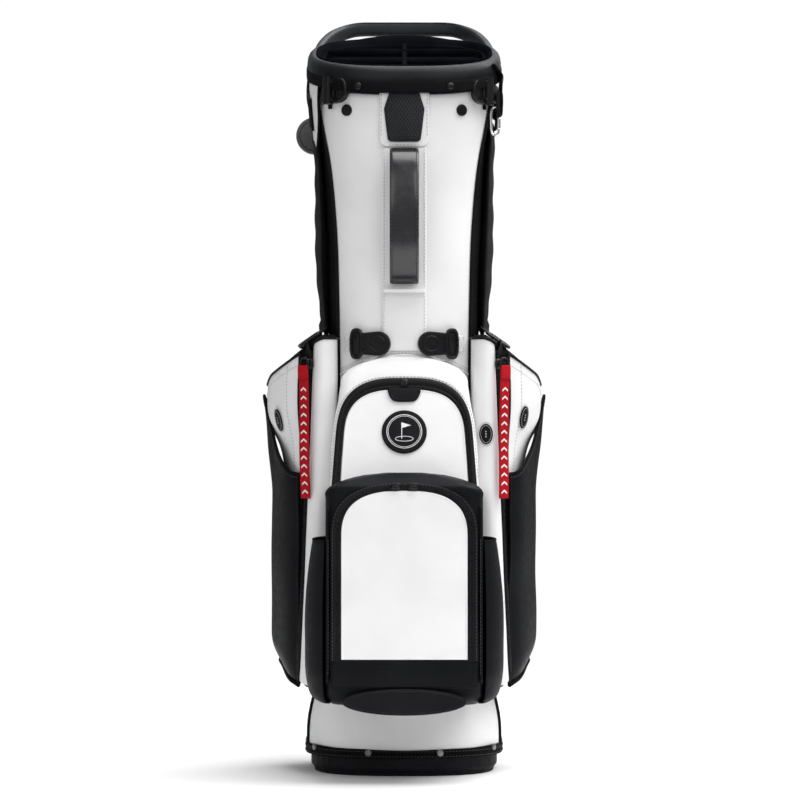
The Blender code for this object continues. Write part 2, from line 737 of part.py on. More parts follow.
def make_valuables_front():
    along = 1 / math.cos(VALUABLES_LEAN)
    door_top, zip_top, spring = 0.1020 * along, 0.1160 * along, 0.0450
    door = arch(0.0728, 0.0085, spring, door_top)
    slab("valuables_door", door, 0.0026, "white_leatherette", frame=valuables_frame(GAP), bevel=0.0008)
    band = arch_band(arch(0.0735, 0.0085, spring, door_top + 0.0007), arch(0.0825, 0.0085, spring, zip_top))
    slab("valuables_zip", band, 0.0022, "zip_black", frame=valuables_frame(GAP))
    centre = valuables_frame(0) @ Vector((0.0, 0.0640, 0.0032))
    out = valuables_frame(0) @ Vector((0.0, 0.0640, 0.0062))
    rod("round_emblem", centre, out, 0.0262, "black_rubber", sides=32, bevel=0.0008)


def valuables_arc_centre():
    """Where the top of the arched zip curves about, in the plane of the pocket's face."""
    return Vector((0.0, 0.0118, 0.0))


def make_valuables_slider():
    frame = valuables_frame(0.0034)
    top = 0.1095 / math.cos(VALUABLES_LEAN)
    centre = frame @ valuables_arc_centre()
    body = "valuables_slider"
    Kit.bodies[body].location = centre
    outline = [(-0.0045, top - 0.0050), (0.0045, top - 0.0050), (0.0045, top + 0.0045), (-0.0045, top + 0.0045)]
    slab("valuables_zip_slider", outline, 0.0030, "black_plastic", frame=frame, bevel=0.0006,
         body=body, origin=centre)
    hinge = frame @ Vector((0, top - 0.0065, 0.0022))
    Kit.bodies["valuables_pull"].location = hinge
    pull = [(-0.0165, top - 0.0080), (-0.0150, top - 0.0140), (-0.0095, top - 0.0205),
            (0.0095, top - 0.0205), (0.0150, top - 0.0140), (0.0165, top - 0.0080)]
    slab("valuables_pull_tab", pull, 0.0028, "black_rubber",
         frame=frame @ Matrix.Translation((0, 0, 0.0008)), bevel=0.0007, body="valuables_pull", origin=hinge)


def ledge_ring(half_width, front, z, corner):
    """Plan outline of the ball pocket above the ledge, where it stands before the valuables pocket."""
    ring = pocket_ring(half_width, front, z, corner)
    rear = VALUABLES_BASE.y - 0.0010
    return [Vector((p.x, min(p.y, rear), z)) for p in ring[:12]] + [
        Vector((blend(ring[11].x, ring[0].x, k / 12), rear, z)) for k in range(1, 12)]


def make_ball_pocket():
    rows = (  # height, half width, front y, corner
        (0.0905, 0.0760, -0.1650, 0.030), (0.0960, 0.0860, -0.1830, 0.026),
        (0.1080, 0.0905, -0.1930, 0.020), (0.1250, 0.0915, BALL_FRONT, 0.016),
        (0.2000, 0.0915, BALL_FRONT, 0.016), (0.2800, 0.0915, BALL_FRONT, 0.016),
        (0.3260, 0.0905, BALL_FRONT, 0.016), (LEDGE - 0.0002, 0.0903, BALL_FRONT, 0.016),
        (LEDGE + 0.0008, 0.0902, BALL_FRONT, 0.016), (0.3450, 0.0880, -0.1975, 0.018),
        (0.3545, 0.0790, -0.1900, 0.020), (0.3605, 0.0600, -0.1780, 0.016),
    )
    rings = [(pocket_ring if z < LEDGE else ledge_ring)(w, f, z, c) for z, w, f, c in rows]
    add_gussets(loft("ball_pocket", rings, "black_leatherette"))


def ball_frame(stand):
    """Plane of the ball pocket's face: X across, Y up, Z out of it."""
    turn = Matrix.Rotation(math.pi / 2, 4, "X")
    return Matrix.Translation((0, BALL_FRONT - stand, 0)) @ turn


def make_ball_front():
    door = arch(0.0705, 0.1455, 0.2850, 0.3405, power=2.7)
    slab("ball_pocket_door", door, 0.0030, "white_leatherette", frame=ball_frame(GAP), bevel=0.0010)
    band = arch_band(arch(0.0740, 0.1455, 0.2850, 0.3430, power=2.7),
                     arch(0.0835, 0.1455, 0.2850, 0.3490, power=2.7))
    slab("ball_pocket_zip", band, 0.0024, "zip_black", frame=ball_frame(GAP))
    lens = []
    for k in range(20):
        x, y = superellipse(2 * math.pi * k / 20, 0.0720, 0.0155, power=2.0)
        lens.append((x, 0.0965 + y))
    slab("pocket_skid", lens, 0.0042, "black_rubber", frame=ball_frame(GAP), bevel=0.0014)
    for side, name in ((-1, "left"), (1, "right")):
        body = f"ball_{name}_slider"
        centre = Vector((0, BALL_FRONT - 0.0031, BALL_ARC_Z))
        at = centre + Vector((side * 0.0100, 0, 0.3458 - BALL_ARC_Z))
        Kit.bodies[body].location = centre
        box(f"ball_zip_slider_{name}", at + Vector((-0.0060, -0.0042, -0.0040)),
            at + Vector((0.0060, 0.0, 0.0040)), "black_plastic", bevel=0.0008, body=body, origin=centre)


def walled_sleeve(name, path, outward, gap_of, low, top_of, finish, wall=0.0028, root=GAP):
    """An open-topped pocket: a standing wall along a path, and a floor back to what it is sewn to."""
    rings = []
    last = len(path) - 1
    for k, point in enumerate(path):
        out, depth, top = outward[k], gap_of(k / last), top_of(k / last)

        def at(off, z):
            return Vector((point.x + out.x * off, point.y + out.y * off, z))

        rings.append([at(root, low), at(depth + wall * 0.6, low), at(depth + wall, low + 0.006),
                      at(depth + wall, top), at(depth, top), at(depth, low + 0.0035), at(root, low + 0.0035)])
    return loft(name, rings, finish)


def add_gussets(pocket):
    """Small open sleeves on the two sides of the ball pocket."""
    for side, name in ((-1, "left"), (1, "right")):
        count = 9
        path, outward = [], []
        for k in range(count):
            path.append(Vector((side * BALL_HALF_WIDTH, blend(-0.1790, -0.1180, k / (count - 1)), 0)))
            outward.append(Vector((side, 0)))
        sleeve = walled_sleeve(
            f"gusset_sleeve_{name}", path, outward,
            lambda s: 0.0160 * math.sin(math.pi * s) ** 0.7 - 0.0012,
            0.1120, lambda s: 0.2810, "black_leatherette", wall=0.0024, root=-0.0030)
        combine(pocket, sleeve, "UNION")


# ---- side pockets ------------------------------------------------------------------------
SIDE_REACH = (  # the furthest the side pocket stands out, under the bottle sleeve
    (0.105, 0.1250), (0.125, 0.1370), (0.16, 0.1390), (0.40, 0.1390), (0.468, 0.1395), (0.488, 0.1475),
    (0.523, 0.1450),
)


def zip_x(z):
    return 0.1045 + (0.505 - z) * 0.045


def side_outline(z, count=22):
    """The side pocket's outer plan line from the front seam to the rear, on the +X side."""
    reach = profile(SIDE_REACH, z)
    seam = profile(SEAM_X, max(z, 0.30)) + 0.0016
    zx = zip_x(z)
    tube = front_y(seam, z, 0.0015)
    corners = [
        Vector((seam, tube)), Vector((seam + 0.0040, -0.0830)), Vector(((seam + zx) / 2 + 0.002, -0.0915)),
        Vector((zx - 0.0030, -0.0860)), Vector((zx + 0.0040, POCKET_ZIP_Y + 0.008)),
        Vector((blend(zx, reach, 0.55), -0.0450)), Vector((reach - 0.0050, 0.0)),
        Vector((reach, 0.0350)), Vector((reach - 0.0060, 0.0700)), Vector((reach - 0.0250, 0.0900)),
        Vector((0.0960, 0.0880)), Vector((0.0850, 0.0740)),
    ]
    return smooth_through(corners, count)


def side_top(x):
    """Height of the pocket's top edge: it drops away outwards."""
    return POCKET_TOP - 0.0450 * max(0.0, (x - 0.095) / 0.068) ** 1.2


def side_point(share, k, outline, shrink=0.0):
    p = outline[k]
    centre = Vector((0.105, 0.0))
    q = p + (centre - p) * shrink * math.sin(math.pi * k / (len(outline) - 1)) ** 0.5
    z = POCKET_LOW + share * (side_top(p.x) - POCKET_LOW)
    return Vector((q.x, q.y, z))


def make_side_pockets():
    shares = ((0.0, 0.10), (0.012, 0.03), (0.04, 0.0), (0.25, 0.0), (0.50, 0.0), (0.72, 0.0),
              (0.865, 0.0), (0.918, 0.0), (0.975, 0.0), (0.993, 0.03), (1.0, 0.09))
    rings = []
    for share, shrink in shares:
        z = POCKET_LOW + share * (POCKET_TOP - POCKET_LOW)
        outline = side_outline(z)
        outer = [side_point(share, k, outline, shrink) for k in range(len(outline))]
        inner = []
        front_end = angle_at(outline[0].x, z) + 0.03
        for k in range(9):
            angle = blend(0.62, front_end, k / 8)
            tube = body_point(angle, z, 0.0028)
            height = POCKET_LOW + share * (side_top(tube.x) - POCKET_LOW)
            inner.append(body_point(angle, height, 0.0028))
        rings.append(outer + inner)
    for side, name in ((-1, "left"), (1, "right")):
        flipped = [[mirrored(p, side) for p in ring] for ring in rings]
        loft(f"apparel_pocket_{name}", flipped, "white_leatherette")


def make_bottle_sleeves():
    z = 0.25
    outline = side_outline(z, 45)
    start = next(i for i, p in enumerate(outline) if p.y > POCKET_ZIP_Y + 0.022)
    end = next(i for i, p in enumerate(outline) if i > start and p.y > 0.0760)
    steps = list(range(start, end, 2))
    path, outward = [], []
    for i in steps:
        ahead = (outline[i + 1] - outline[i - 1]).normalized()
        path.append(outline[i])
        outward.append(Vector((ahead.y, -ahead.x)))
    for side, name in ((-1, "left"), (1, "right")):
        walled_sleeve(
            f"bottle_sleeve_{name}",
            [Vector((side * p.x, p.y)) for p in path],
            [Vector((side * o.x, o.y)) for o in outward],
            lambda s: 0.0045 + 0.0150 * math.sin(math.pi * (0.1 + 0.85 * s)) ** 0.8,
            POCKET_LOW + 0.014, lambda s: 0.378 + 0.062 * min(1.0, s * 1.5) ** 1.2, "black_leatherette",
            root=0.0024)


def make_apparel_zips():
    """The long upright zips, their sliders, and the red ribbons on the pulls."""
    for side, name in ((-1, "left"), (1, "right")):
        rings = []
        for k in range(2):
            z = blend(0.1350, ZIP_TOP, k)
            x = zip_x(z)
            outline = side_outline(z, 60)
            near = min(outline, key=lambda p: (p - Vector((x, POCKET_ZIP_Y))).length)
            centre = Vector((near.x, near.y))
            out = Vector((0.77, -0.64))
            across = Vector((0.64, 0.77))
            stand = 0.0024
            ring = [centre + out * stand - across * 0.0045, centre + out * (stand + 0.002) - across * 0.0045,
                    centre + out * (stand + 0.002) + across * 0.0045, centre + out * stand + across * 0.0045]
            rings.append([Vector((side * p.x, p.y, z)) for p in ring])
        loft(f"apparel_zip_{name}", rings, "zip_black")
        top = rings[1]
        slope = (rings[0][1] - top[1]) / (ZIP_TOP - 0.1350)
        slider_at = (top[1] + top[2]) / 2 + Vector((side * 0.77, -0.64, 0)) * 0.0016 + slope * 0.0140
        make_zip_slider(side, name, slider_at)


RIBBON_LENGTH = 0.1640
RIBBON_HALF_WIDTH = 0.0068


def make_zip_slider(side, name, at):
    body = f"{name}_zip_slider"
    Kit.bodies[body].location = at
    out = Vector((side * 0.77, -0.64, 0))
    across = Vector((side * 0.64, 0.77, 0))
    rings = []
    for z, half, thick in ((-0.0060, 0.0030, 0.0040), (0.0, 0.0042, 0.0048), (0.0060, 0.0036, 0.0040)):
        lift = at + Vector((0, 0, z))
        rings.append([lift - across * half, lift + out * thick - across * half,
                      lift + out * thick + across * half, lift + across * half])
    loft(f"zip_slider_{name}", rings, "black_plastic", body=body, origin=at)

    hinge = Vector((side * 0.1185, -0.0905, at.z - 0.0030))
    body = f"{name}_ribbon"
    Kit.bodies[body].location = hinge
    ring = ring_loop(f"pull_ring_{name}", hinge + Vector((0, 0, -0.0040)), (1, 0, 0), (0, 0, 1), 0.0060,
                     0.0075, 0.0011, "black_plastic", body=body, origin=hinge)
    top = hinge.z - 0.0100
    low = top - RIBBON_LENGTH + 0.0085
    rings = []
    for z, half, thick in ((low, RIBBON_HALF_WIDTH, 0.0009), (top - 0.020, RIBBON_HALF_WIDTH, 0.0009),
                           (top - 0.0195, RIBBON_HALF_WIDTH, 0.0017), (top, RIBBON_HALF_WIDTH, 0.0020)):
        rings.append([Vector((hinge.x + sx * half, hinge.y + sy * thick, z))
                      for sx, sy in ((-1, -1), (1, -1), (1, 1), (-1, 1))])
    ribbon = loft(f"red_ribbon_{name}", rings, "red_webbing", body=body, origin=hinge)
    combine(ribbon, ring_to_mesh(ring), "UNION")


# ---- shoulder straps ---------------------------------------------------------------------
def make_straps():
    for side, name in ((-1, "left"), (1, "right")):
        def angles(share, first, last):
            return (first, last) if side > 0 else (math.pi - last, math.pi - first)

        pad = hug(f"strap_pad_{name}", lambda s: angles(s, -0.10, 0.52), (0.636, 0.925), 0.0028, 0.0135,
                  "black_mesh", 10, 5)
        hug(f"strap_yoke_{name}", lambda s: angles(s, -0.26, 0.50), (0.930, 0.975), 0.0100, 0.0128,
            "white_leatherette", 3, 8)
        web = [mirrored(body_point(0.20, 0.5520, 0.0105), side), Vector((side * 0.1060, 0.008, 0.5330)),
               Vector((side * 0.1120, -0.006, 0.5290)), Vector((side * 0.1190, -0.018, 0.5245))]
        rings = []
        for i, point in enumerate(web):
            ahead = (web[min(i + 1, 3)] - web[max(i - 1, 0)]).normalized()
            out = Vector((0, 0, 1)) - ahead * ahead.z
            out.normalize()
            across = ahead.cross(out)
            rings.append([point + across * 0.0100 + out * 0.0009, point - across * 0.0100 + out * 0.0009,
                          point - across * 0.0100 - out * 0.0009, point + across * 0.0100 - out * 0.0009])
        web_piece = loft(f"strap_web_{name}", rings, "black_nylon")
        end = web[-1] + Vector((side * 0.0080, -0.0045, -0.0035))
        frame = Matrix.Translation(end) @ Matrix.Rotation(side * math.radians(-31), 4, "Z")
        frame = frame @ Matrix.Rotation(side * math.radians(22), 4, "Y")
        buckle = slab(f"strap_buckle_{name}", [(-0.0105, -0.0135), (0.0075, -0.0135), (0.0075, 0.0135), (-0.0105, 0.0135)],
             0.0060, "black_plastic", frame=frame @ Matrix.Translation((side * 0.0010, 0, -0.0030)), bevel=0.0012)
        combine(pad, web_piece, "UNION")
        combine(pad, buckle, "UNION")


def make_hip_pad():
    rings = []
    low, high = 0.405, 0.735
    for k in range(9):
        share = k / 8
        z = blend(low, high, share)
        swell = 1.0 - 0.10 * abs(2 * share - 1) ** 4
        front, rear = 0.1222, 0.1222 + 0.0200 * swell
        half = 0.0470 * swell
        rings.append([Vector((-half, front, z)), Vector((half, front, z)),
                      Vector((half, rear - 0.006, z)), Vector((half * 0.8, rear, z)),
                      Vector((-half * 0.8, rear, z)), Vector((-half, rear - 0.006, z))])
    pad = loft("hip_pad", rings, "black_mesh")
    for z0, z1 in ((0.4300, 0.4700), (0.6600, 0.7000)):
        depth = max(profile(BODY_HALF_DEPTH, z0), profile(BODY_HALF_DEPTH, z1))
        strip = box(f"pad_stitching_{z0}", (-0.0190, depth + 0.0006, z0), (0.0190, 0.1240, z1), "black_mesh")
        combine(pad, strip, "UNION")


def make_accessories():
    z = 0.768
    disc = Vector((-0.1105, 0.0860, z - 0.004))
    round_pad = rod("magnetic_disc", disc, disc + Vector((0, 0.0075, 0)), 0.0230, "black_rubber", sides=28, bevel=0.0012)
    tip = body_point(0.60, z + 0.012, 0.0010)
    hanger = rod("disc_hanger", Vector((-0.1060, 0.0885, z + 0.019)), mirrored(tip, -1), 0.0022,
                 "black_nylon", sides=8)
    combine(round_pad, hanger, "UNION")
    angle, z = -0.45, 0.799
    loop = body_point(angle, z, 0.0178)
    outward = (loop - body_point(angle, z)).normalized()
    along = Vector((-outward.y, outward.x, 0))
    ring_loop("accessory_loop", loop, along, (0, 0, 1), 0.0060, 0.0150, 0.0015, "black_nylon")
    hinge = loop - Vector((0, 0, 0.0150))
    Kit.bodies["accessory_hook"].location = hinge
    ring_loop("accessory_hook", hinge + Vector((0, 0, 0.0034 - 0.0170)), outward, (0, 0, 1),
              0.0050, 0.0170, 0.0015, "chrome", body="accessory_hook", origin=hinge)


# ---- legs --------------------------------------------------------------------------------
def leg_frame(side):
    """(pivot, hinge axis, the way the foot swings) of one leg."""
    axis = Vector((math.cos(LEG_SPLAY), -side * math.sin(LEG_SPLAY), 0))
    swing = Vector((side * math.sin(LEG_SPLAY), math.cos(LEG_SPLAY), 0))
    surface = mirrored(body_point(angle_at(0.058, LEG_PIVOT_Z, rear=True), LEG_PIVOT_Z, 0.0), side)
    return surface + swing * 0.0200, axis, swing


def upright_box(name, centre, axis, swing, half, finish, **where):
    """A box whose sides follow a leg's hinge axis and swing direction."""
    rings = []
    for z in (-half[2], half[2]):
        rings.append([centre + axis * (sx * half[0]) + swing * (sy * half[1]) + Vector((0, 0, z))
                      for sx, sy in ((-1, -1), (1, -1), (1, 1), (-1, 1))])
    return loft(name, rings, finish, **where)


def make_leg_mount():
    """A curved plate under the collar, with two ears for each leg."""
    rings = []
    for z in (0.8190, 0.8500):
        edge = angle_at(0.0800, z, rear=True)
        steps = [blend(edge, math.pi - edge, k / 12) for k in range(13)]
        rings.append([body_point(a, z, 0.0050) for a in steps]
                     + [body_point(a, z, 0.0008) for a in reversed(steps)])
    mount = loft("leg_mount", rings, "black_plastic")
    for side, name in ((-1, "left"), (1, "right")):
        pivot, axis, swing = leg_frame(side)
        for end in (-1, 1):
            centre = pivot + axis * (end * 0.0084) - swing * 0.0030
            ear = upright_box(f"ear_{name}_{end}", centre, axis, swing, (0.0018, 0.0125, 0.0115), "black_plastic")
            combine(mount, ear, "UNION")
        pin = rod(f"leg_pin_{name}", pivot - axis * 0.0125, pivot + axis * 0.0125, 0.0024, "steel", sides=12)
        combine(mount, pin, "UNION")


def make_leg(side, name):
    pivot, axis, swing = leg_frame(side)
    body = f"{name}_leg"
    Kit.bodies[body].location = pivot
    where = {"body": body, "origin": pivot}
    low = Vector((pivot.x, pivot.y, LEG_LOW))
    leg = rod(f"leg_tube_{name}", low, pivot - Vector((0, 0, 0.0030)), LEG_RADIUS, "black_aluminium", **where)
    eye = rod(f"leg_eye_{name}", pivot - axis * 0.0060, pivot + axis * 0.0060, 0.0085, "black_aluminium",
              sides=20, **where)
    combine(leg, eye, "UNION")
    arm = upright_box(f"leg_crank_{name}", pivot + swing * (CRANK / 2), axis, swing,
                      (0.0045, CRANK / 2 + 0.0035, 0.0038), "black_aluminium", **where)
    combine(leg, arm, "UNION")
    cross = pivot + swing * CRANK
    inward = axis * -side
    pin = rod(f"leg_cross_pin_{name}", cross, cross + inward * 0.0270, 0.0026, "black_aluminium", sides=12, **where)
    combine(leg, pin, "UNION")
    hole = rod(f"leg_hole_{name}", pivot - axis * 0.02, pivot + axis * 0.02, 0.0027, "black_aluminium",
               sides=12, **where)
    combine(leg, hole, "DIFFERENCE")
    top = Vector((pivot.x, pivot.y, LEG_LOW - 0.0004))
    rod(f"leg_foot_{name}", Vector((pivot.x, pivot.y, LEG_FOOT_LOW)), top, 0.0115, "black_rubber",
        end_radius=0.0090, bevel=0.0020, **where)


def push_rod_top(side):
    pivot, axis, swing = leg_frame(side)
    return pivot + swing * CRANK - axis * (side * 0.0235) - Vector((0, 0, 0.0026 + 0.0012))


def make_push_rod():
    """A wire frame behind the tube: the lever lifts it, and its two tips lift the legs' cranks."""
    bar_z = 0.0115
    tip = push_rod_top(1)
    corner = 0.010
    half = [Vector((0.0, ROD_Y, bar_z)), Vector((ROD_X - corner, ROD_Y, bar_z))]
    for k in range(1, 4):
        turn = math.pi / 2 * k / 4
        half.append(Vector((ROD_X - corner + corner * math.sin(turn), ROD_Y, bar_z + corner * (1 - math.cos(turn)))))
    half += [Vector((ROD_X, ROD_Y, bar_z + corner)), Vector((ROD_X, ROD_Y, 0.400)), Vector((ROD_X, ROD_Y, 0.745))]
    for share in (0.25, 0.5, 0.75):
        ease = share * share * (3 - 2 * share)
        half.append(Vector((blend(ROD_X, tip.x, ease), blend(ROD_Y, tip.y, ease), blend(0.750, tip.z - 0.018, share))))
    half += [Vector((tip.x, tip.y, tip.z - 0.014)), Vector(tip)]
    path = [Vector((-p.x, p.y, p.z)) for p in reversed(half[1:])] + half
    wire("push_rod", path, ROD_RADIUS, "steel", body="push_rod")


def make_rod_guide():
    """A bridge on the back panel that keeps the push rod close to it."""
    z = 0.2900
    depth = profile(BODY_HALF_DEPTH, z)
    guide = box("rod_guide", (-0.0370, depth + 0.0006, z - 0.008), (0.0370, ROD_Y + 0.0048, z + 0.008),
                "black_plastic", bevel=0.0010)
    for side in (-1, 1):
        hole = rod(f"rod_guide_hole_{side}", (side * ROD_X, ROD_Y, z - 0.02), (side * ROD_X, ROD_Y, z + 0.02),
                   ROD_RADIUS + 0.0004, "black_plastic", sides=12)
        combine(guide, hole, "DIFFERENCE")


def make_lever():
    body = "foot_lever"
    Kit.bodies[body].location = LEVER_PIN
    where = {"body": body, "origin": LEVER_PIN}
    plate = box("foot_lever", (-LEVER_HALF_WIDTH, 0.0440, 0.0012), (LEVER_HALF_WIDTH, 0.1235, 0.0080),
                "black_rubber", bevel=0.0010, **where)
    barrel = rod("lever_barrel", LEVER_PIN - Vector((0.0440, 0, 0)), LEVER_PIN + Vector((0.0440, 0, 0)),
                 0.0052, "black_rubber", sides=16, **where)
    combine(plate, barrel, "UNION")
    hole = rod("lever_hole", LEVER_PIN - Vector((0.06, 0, 0)), LEVER_PIN + Vector((0.06, 0, 0)),
               0.0023, "black_rubber", sides=12, **where)
    combine(plate, hole, "DIFFERENCE")


# ---- assembly ----------------------------------------------------------------------------
BODIES = (
    "bag", "left_leg", "right_leg", "push_rod", "foot_lever", "left_zip_slider", "right_zip_slider",
    "left_ribbon", "right_ribbon", "left_clip_tab", "right_clip_tab", "valuables_slider",
    "valuables_pull", "ball_left_slider", "ball_right_slider", "accessory_hook",
)


def main():
    for old in list(bpy.data.objects):
        bpy.data.objects.remove(old)
    Kit.materials = make_materials()
    for name in BODIES:
        empty = bpy.data.objects.new(f"{name}_origin", None)
        bpy.context.scene.collection.objects.link(empty)
        Kit.bodies[name] = empty
    for side, name in ((-1, "left"), (1, "right")):
        Kit.bodies[f"{name}_clip_tab"].location = lower_clip_hinge(side)
    make_base()
    make_panels()
    make_stays()
    make_collar()
    make_divider()
    make_divider_walls()
    make_spine()
    for side, name in ((-1, "left"), (1, "right")):
        make_lower_clip(side, name)
        make_upper_clip(side, name)
    make_valuables_pocket()
    make_valuables_front()
    make_valuables_slider()
    make_ball_pocket()
    make_ball_front()
    make_side_pockets()
    make_bottle_sleeves()
    make_apparel_zips()
    make_straps()
    make_hip_pad()
    make_accessories()
    make_leg_mount()
    for side, name in ((-1, "left"), (1, "right")):
        make_leg(side, name)
    make_push_rod()
    make_rod_guide()
    make_lever()


main()
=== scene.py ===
"""The looks of a walking golf bag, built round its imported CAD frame.

Metres, +Z up. The pockets face -Y and the legs +Y. "Left" is -X, as seen from in front.
"""

import math

import bmesh
import bpy
import numpy as np
from mathutils import Matrix, Vector, noise


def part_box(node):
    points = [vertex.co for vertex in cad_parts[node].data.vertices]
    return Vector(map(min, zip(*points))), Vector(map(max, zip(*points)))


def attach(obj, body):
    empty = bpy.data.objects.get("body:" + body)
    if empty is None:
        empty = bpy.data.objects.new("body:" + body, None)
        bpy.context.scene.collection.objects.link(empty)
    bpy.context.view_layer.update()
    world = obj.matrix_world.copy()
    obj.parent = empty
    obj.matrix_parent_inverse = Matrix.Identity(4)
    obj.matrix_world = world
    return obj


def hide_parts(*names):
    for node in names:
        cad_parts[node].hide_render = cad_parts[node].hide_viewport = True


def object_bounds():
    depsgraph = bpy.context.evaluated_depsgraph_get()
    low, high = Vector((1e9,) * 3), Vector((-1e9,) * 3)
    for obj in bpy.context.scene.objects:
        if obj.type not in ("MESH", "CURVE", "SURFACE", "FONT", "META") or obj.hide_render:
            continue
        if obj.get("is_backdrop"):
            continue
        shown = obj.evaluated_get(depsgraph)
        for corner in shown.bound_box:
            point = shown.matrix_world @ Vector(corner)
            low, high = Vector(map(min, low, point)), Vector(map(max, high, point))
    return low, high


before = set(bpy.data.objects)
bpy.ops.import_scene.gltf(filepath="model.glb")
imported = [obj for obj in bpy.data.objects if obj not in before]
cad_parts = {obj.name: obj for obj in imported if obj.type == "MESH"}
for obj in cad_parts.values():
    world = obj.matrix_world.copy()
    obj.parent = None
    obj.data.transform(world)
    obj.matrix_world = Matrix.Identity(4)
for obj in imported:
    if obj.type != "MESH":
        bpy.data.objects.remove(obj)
CAD_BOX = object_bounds()

SIDES = ((-1, "left"), (1, "right"))
UP = Vector((0, 0, 1))
FRONT = Vector((0, -1, 0))

# ---- the bag's shape, as in the CAD ------------------------------------------------------
PANEL = 0.0025
BODY_POWER = 2.6
BODY_HALF_WIDTH = (
    (0.022, 0.1155), (0.06, 0.1150), (0.10, 0.1090), (0.20, 0.0980), (0.40, 0.0920),
    (0.60, 0.0930), (0.72, 0.0985), (0.80, 0.1060), (0.86, 0.1105), (0.92, 0.1120),
)
BODY_HALF_DEPTH = (
    (0.022, 0.1045), (0.06, 0.1040), (0.12, 0.0985), (0.30, 0.0920), (0.60, 0.0940),
    (0.74, 0.0985), (0.82, 0.1055), (0.86, 0.1080), (0.92, 0.1095),
)
SEAM_X = (
    (0.022, 0.1146), (0.06, 0.1138), (0.10, 0.1060), (0.20, 0.0880), (0.40, 0.0785),
    (0.56, 0.0785), (0.66, 0.0820), (0.73, 0.0890), (0.78, 0.0980), (0.82, 0.1040), (0.92, 0.1050),
)
BACK_SEAM_X = 0.066
LIP_HEIGHT = 0.867
LIP_SLOPE = 0.255
COLLAR_HALF_WIDTH = 0.1155
COLLAR_HALF_DEPTH = 0.1125
COLLAR_DEPTH = 0.029
PANEL_LOW = 0.0238
POCKET_LOW = 0.108
POCKET_TOP = 0.523
POCKET_ZIP_Y = -0.078
BALL_FRONT = -0.198
BALL_HALF_WIDTH = 0.0915
LEDGE = 0.332
VALUABLES_BASE = Vector((0.0, -0.150, 0.355))
VALUABLES_LEAN = math.atan(0.326)
NECK = 0.0772
SHOULDER_Y = -0.0950
SIDE_REACH = (
    (0.105, 0.1250), (0.125, 0.1370), (0.16, 0.1390), (0.34, 0.1400), (0.41, 0.1500), (0.450, 0.1630),
    (0.475, 0.1655), (0.523, 0.1640),
)


def mix(a, b, t):
    return a + (b - a) * t


def profile(knots, at):
    """The value at a height on a smooth curve through a few (height, value) knots."""
    heights = np.array([k[0] for k in knots])
    values = np.array([k[1] for k in knots])
    if at <= heights[0]:
        return float(values[0])
    if at >= heights[-1]:
        return float(values[-1])
    slopes = np.gradient(values, heights)
    i = int(np.searchsorted(heights, at, side="right")) - 1
    span = heights[i + 1] - heights[i]
    t = (at - heights[i]) / span
    return float(
        values[i] * (1 + 2 * t) * (1 - t) ** 2
        + values[i + 1] * t * t * (3 - 2 * t)
        + span * slopes[i] * t * (1 - t) ** 2
        - span * slopes[i + 1] * t * t * (1 - t)
    )


def smooth_through(points, count):
    """count points on a Catmull-Rom curve through the given ones."""
    ends = [points[0] * 2 - points[1], *points, points[-1] * 2 - points[-2]]
    found = []
    for k in range(count):
        s = k / (count - 1) * (len(points) - 1)
        i = min(int(s), len(points) - 2)
        t = s - i
        a, b, c, d = ends[i : i + 4]
        found.append(0.5 * (2 * b + (c - a) * t + (2 * a - 5 * b + 4 * c - d) * t * t
                            + (3 * b - a - 3 * c + d) * t ** 3))
    return found


def superellipse(angle, half_width, half_depth, offset=0.0, power=BODY_POWER):
    """A point of the outline at that angle, moved outwards by offset along its normal."""
    c, s = math.cos(angle), math.sin(angle)
    x = half_width * math.copysign(abs(c) ** (2 / power), c)
    y = half_depth * math.copysign(abs(s) ** (2 / power), s)
    nx = math.copysign(abs(c) ** (2 - 2 / power), c) / half_width
    ny = math.copysign(abs(s) ** (2 - 2 / power), s) / half_depth
    length = math.hypot(nx, ny)
    return x + offset * nx / length, y + offset * ny / length


def body_point(angle, z, offset=0.0):
    half = profile(BODY_HALF_WIDTH, z), profile(BODY_HALF_DEPTH, z)
    x, y = superellipse(angle, *half, offset)
    return Vector((x, y, z))


def body_normal(point):
    """The way out of the tube near a point."""
    x = point.x / profile(BODY_HALF_WIDTH, point.z)
    y = point.y / profile(BODY_HALF_DEPTH, point.z)
    return Vector((math.copysign(abs(x) ** 1.6, x), math.copysign(abs(y) ** 1.6, y), 0)).normalized()


def angle_at(x, z, rear=False):
    """The outline angle where the tube is |x| wide at that height, on the +X side."""
    ratio = min(0.9999, abs(x) / profile(BODY_HALF_WIDTH, z))
    angle = math.acos(ratio ** (BODY_POWER / 2))
    return angle if rear else -angle


def lip(y):
    return LIP_HEIGHT + LIP_SLOPE * y


def body_height(share, angle):
    """Height of a body point: share 0 is the panels' low edge, 1 the edge under the collar."""
    _, y = superellipse(angle, COLLAR_HALF_WIDTH, COLLAR_HALF_DEPTH)
    return PANEL_LOW + share * (lip(y) - COLLAR_DEPTH - 0.0022 - PANEL_LOW)


def seam_angle(share):
    """The front seam's outline angle on the +X side."""
    angle = -1.0
    for _ in range(6):
        z = body_height(share, angle)
        angle = angle_at(profile(SEAM_X, z), z)
    return angle


def back_seam_angle(share):
    angle = 1.0
    for _ in range(6):
        angle = angle_at(BACK_SEAM_X, body_height(share, angle), rear=True)
    return angle


def front_y(x, z, offset=0.0):
    """The y of the tube's front surface at x."""
    return body_point(angle_at(x, z), z, offset).y


def mirrored(point, side):
    return Vector((side * point[0], point[1], point[2]))


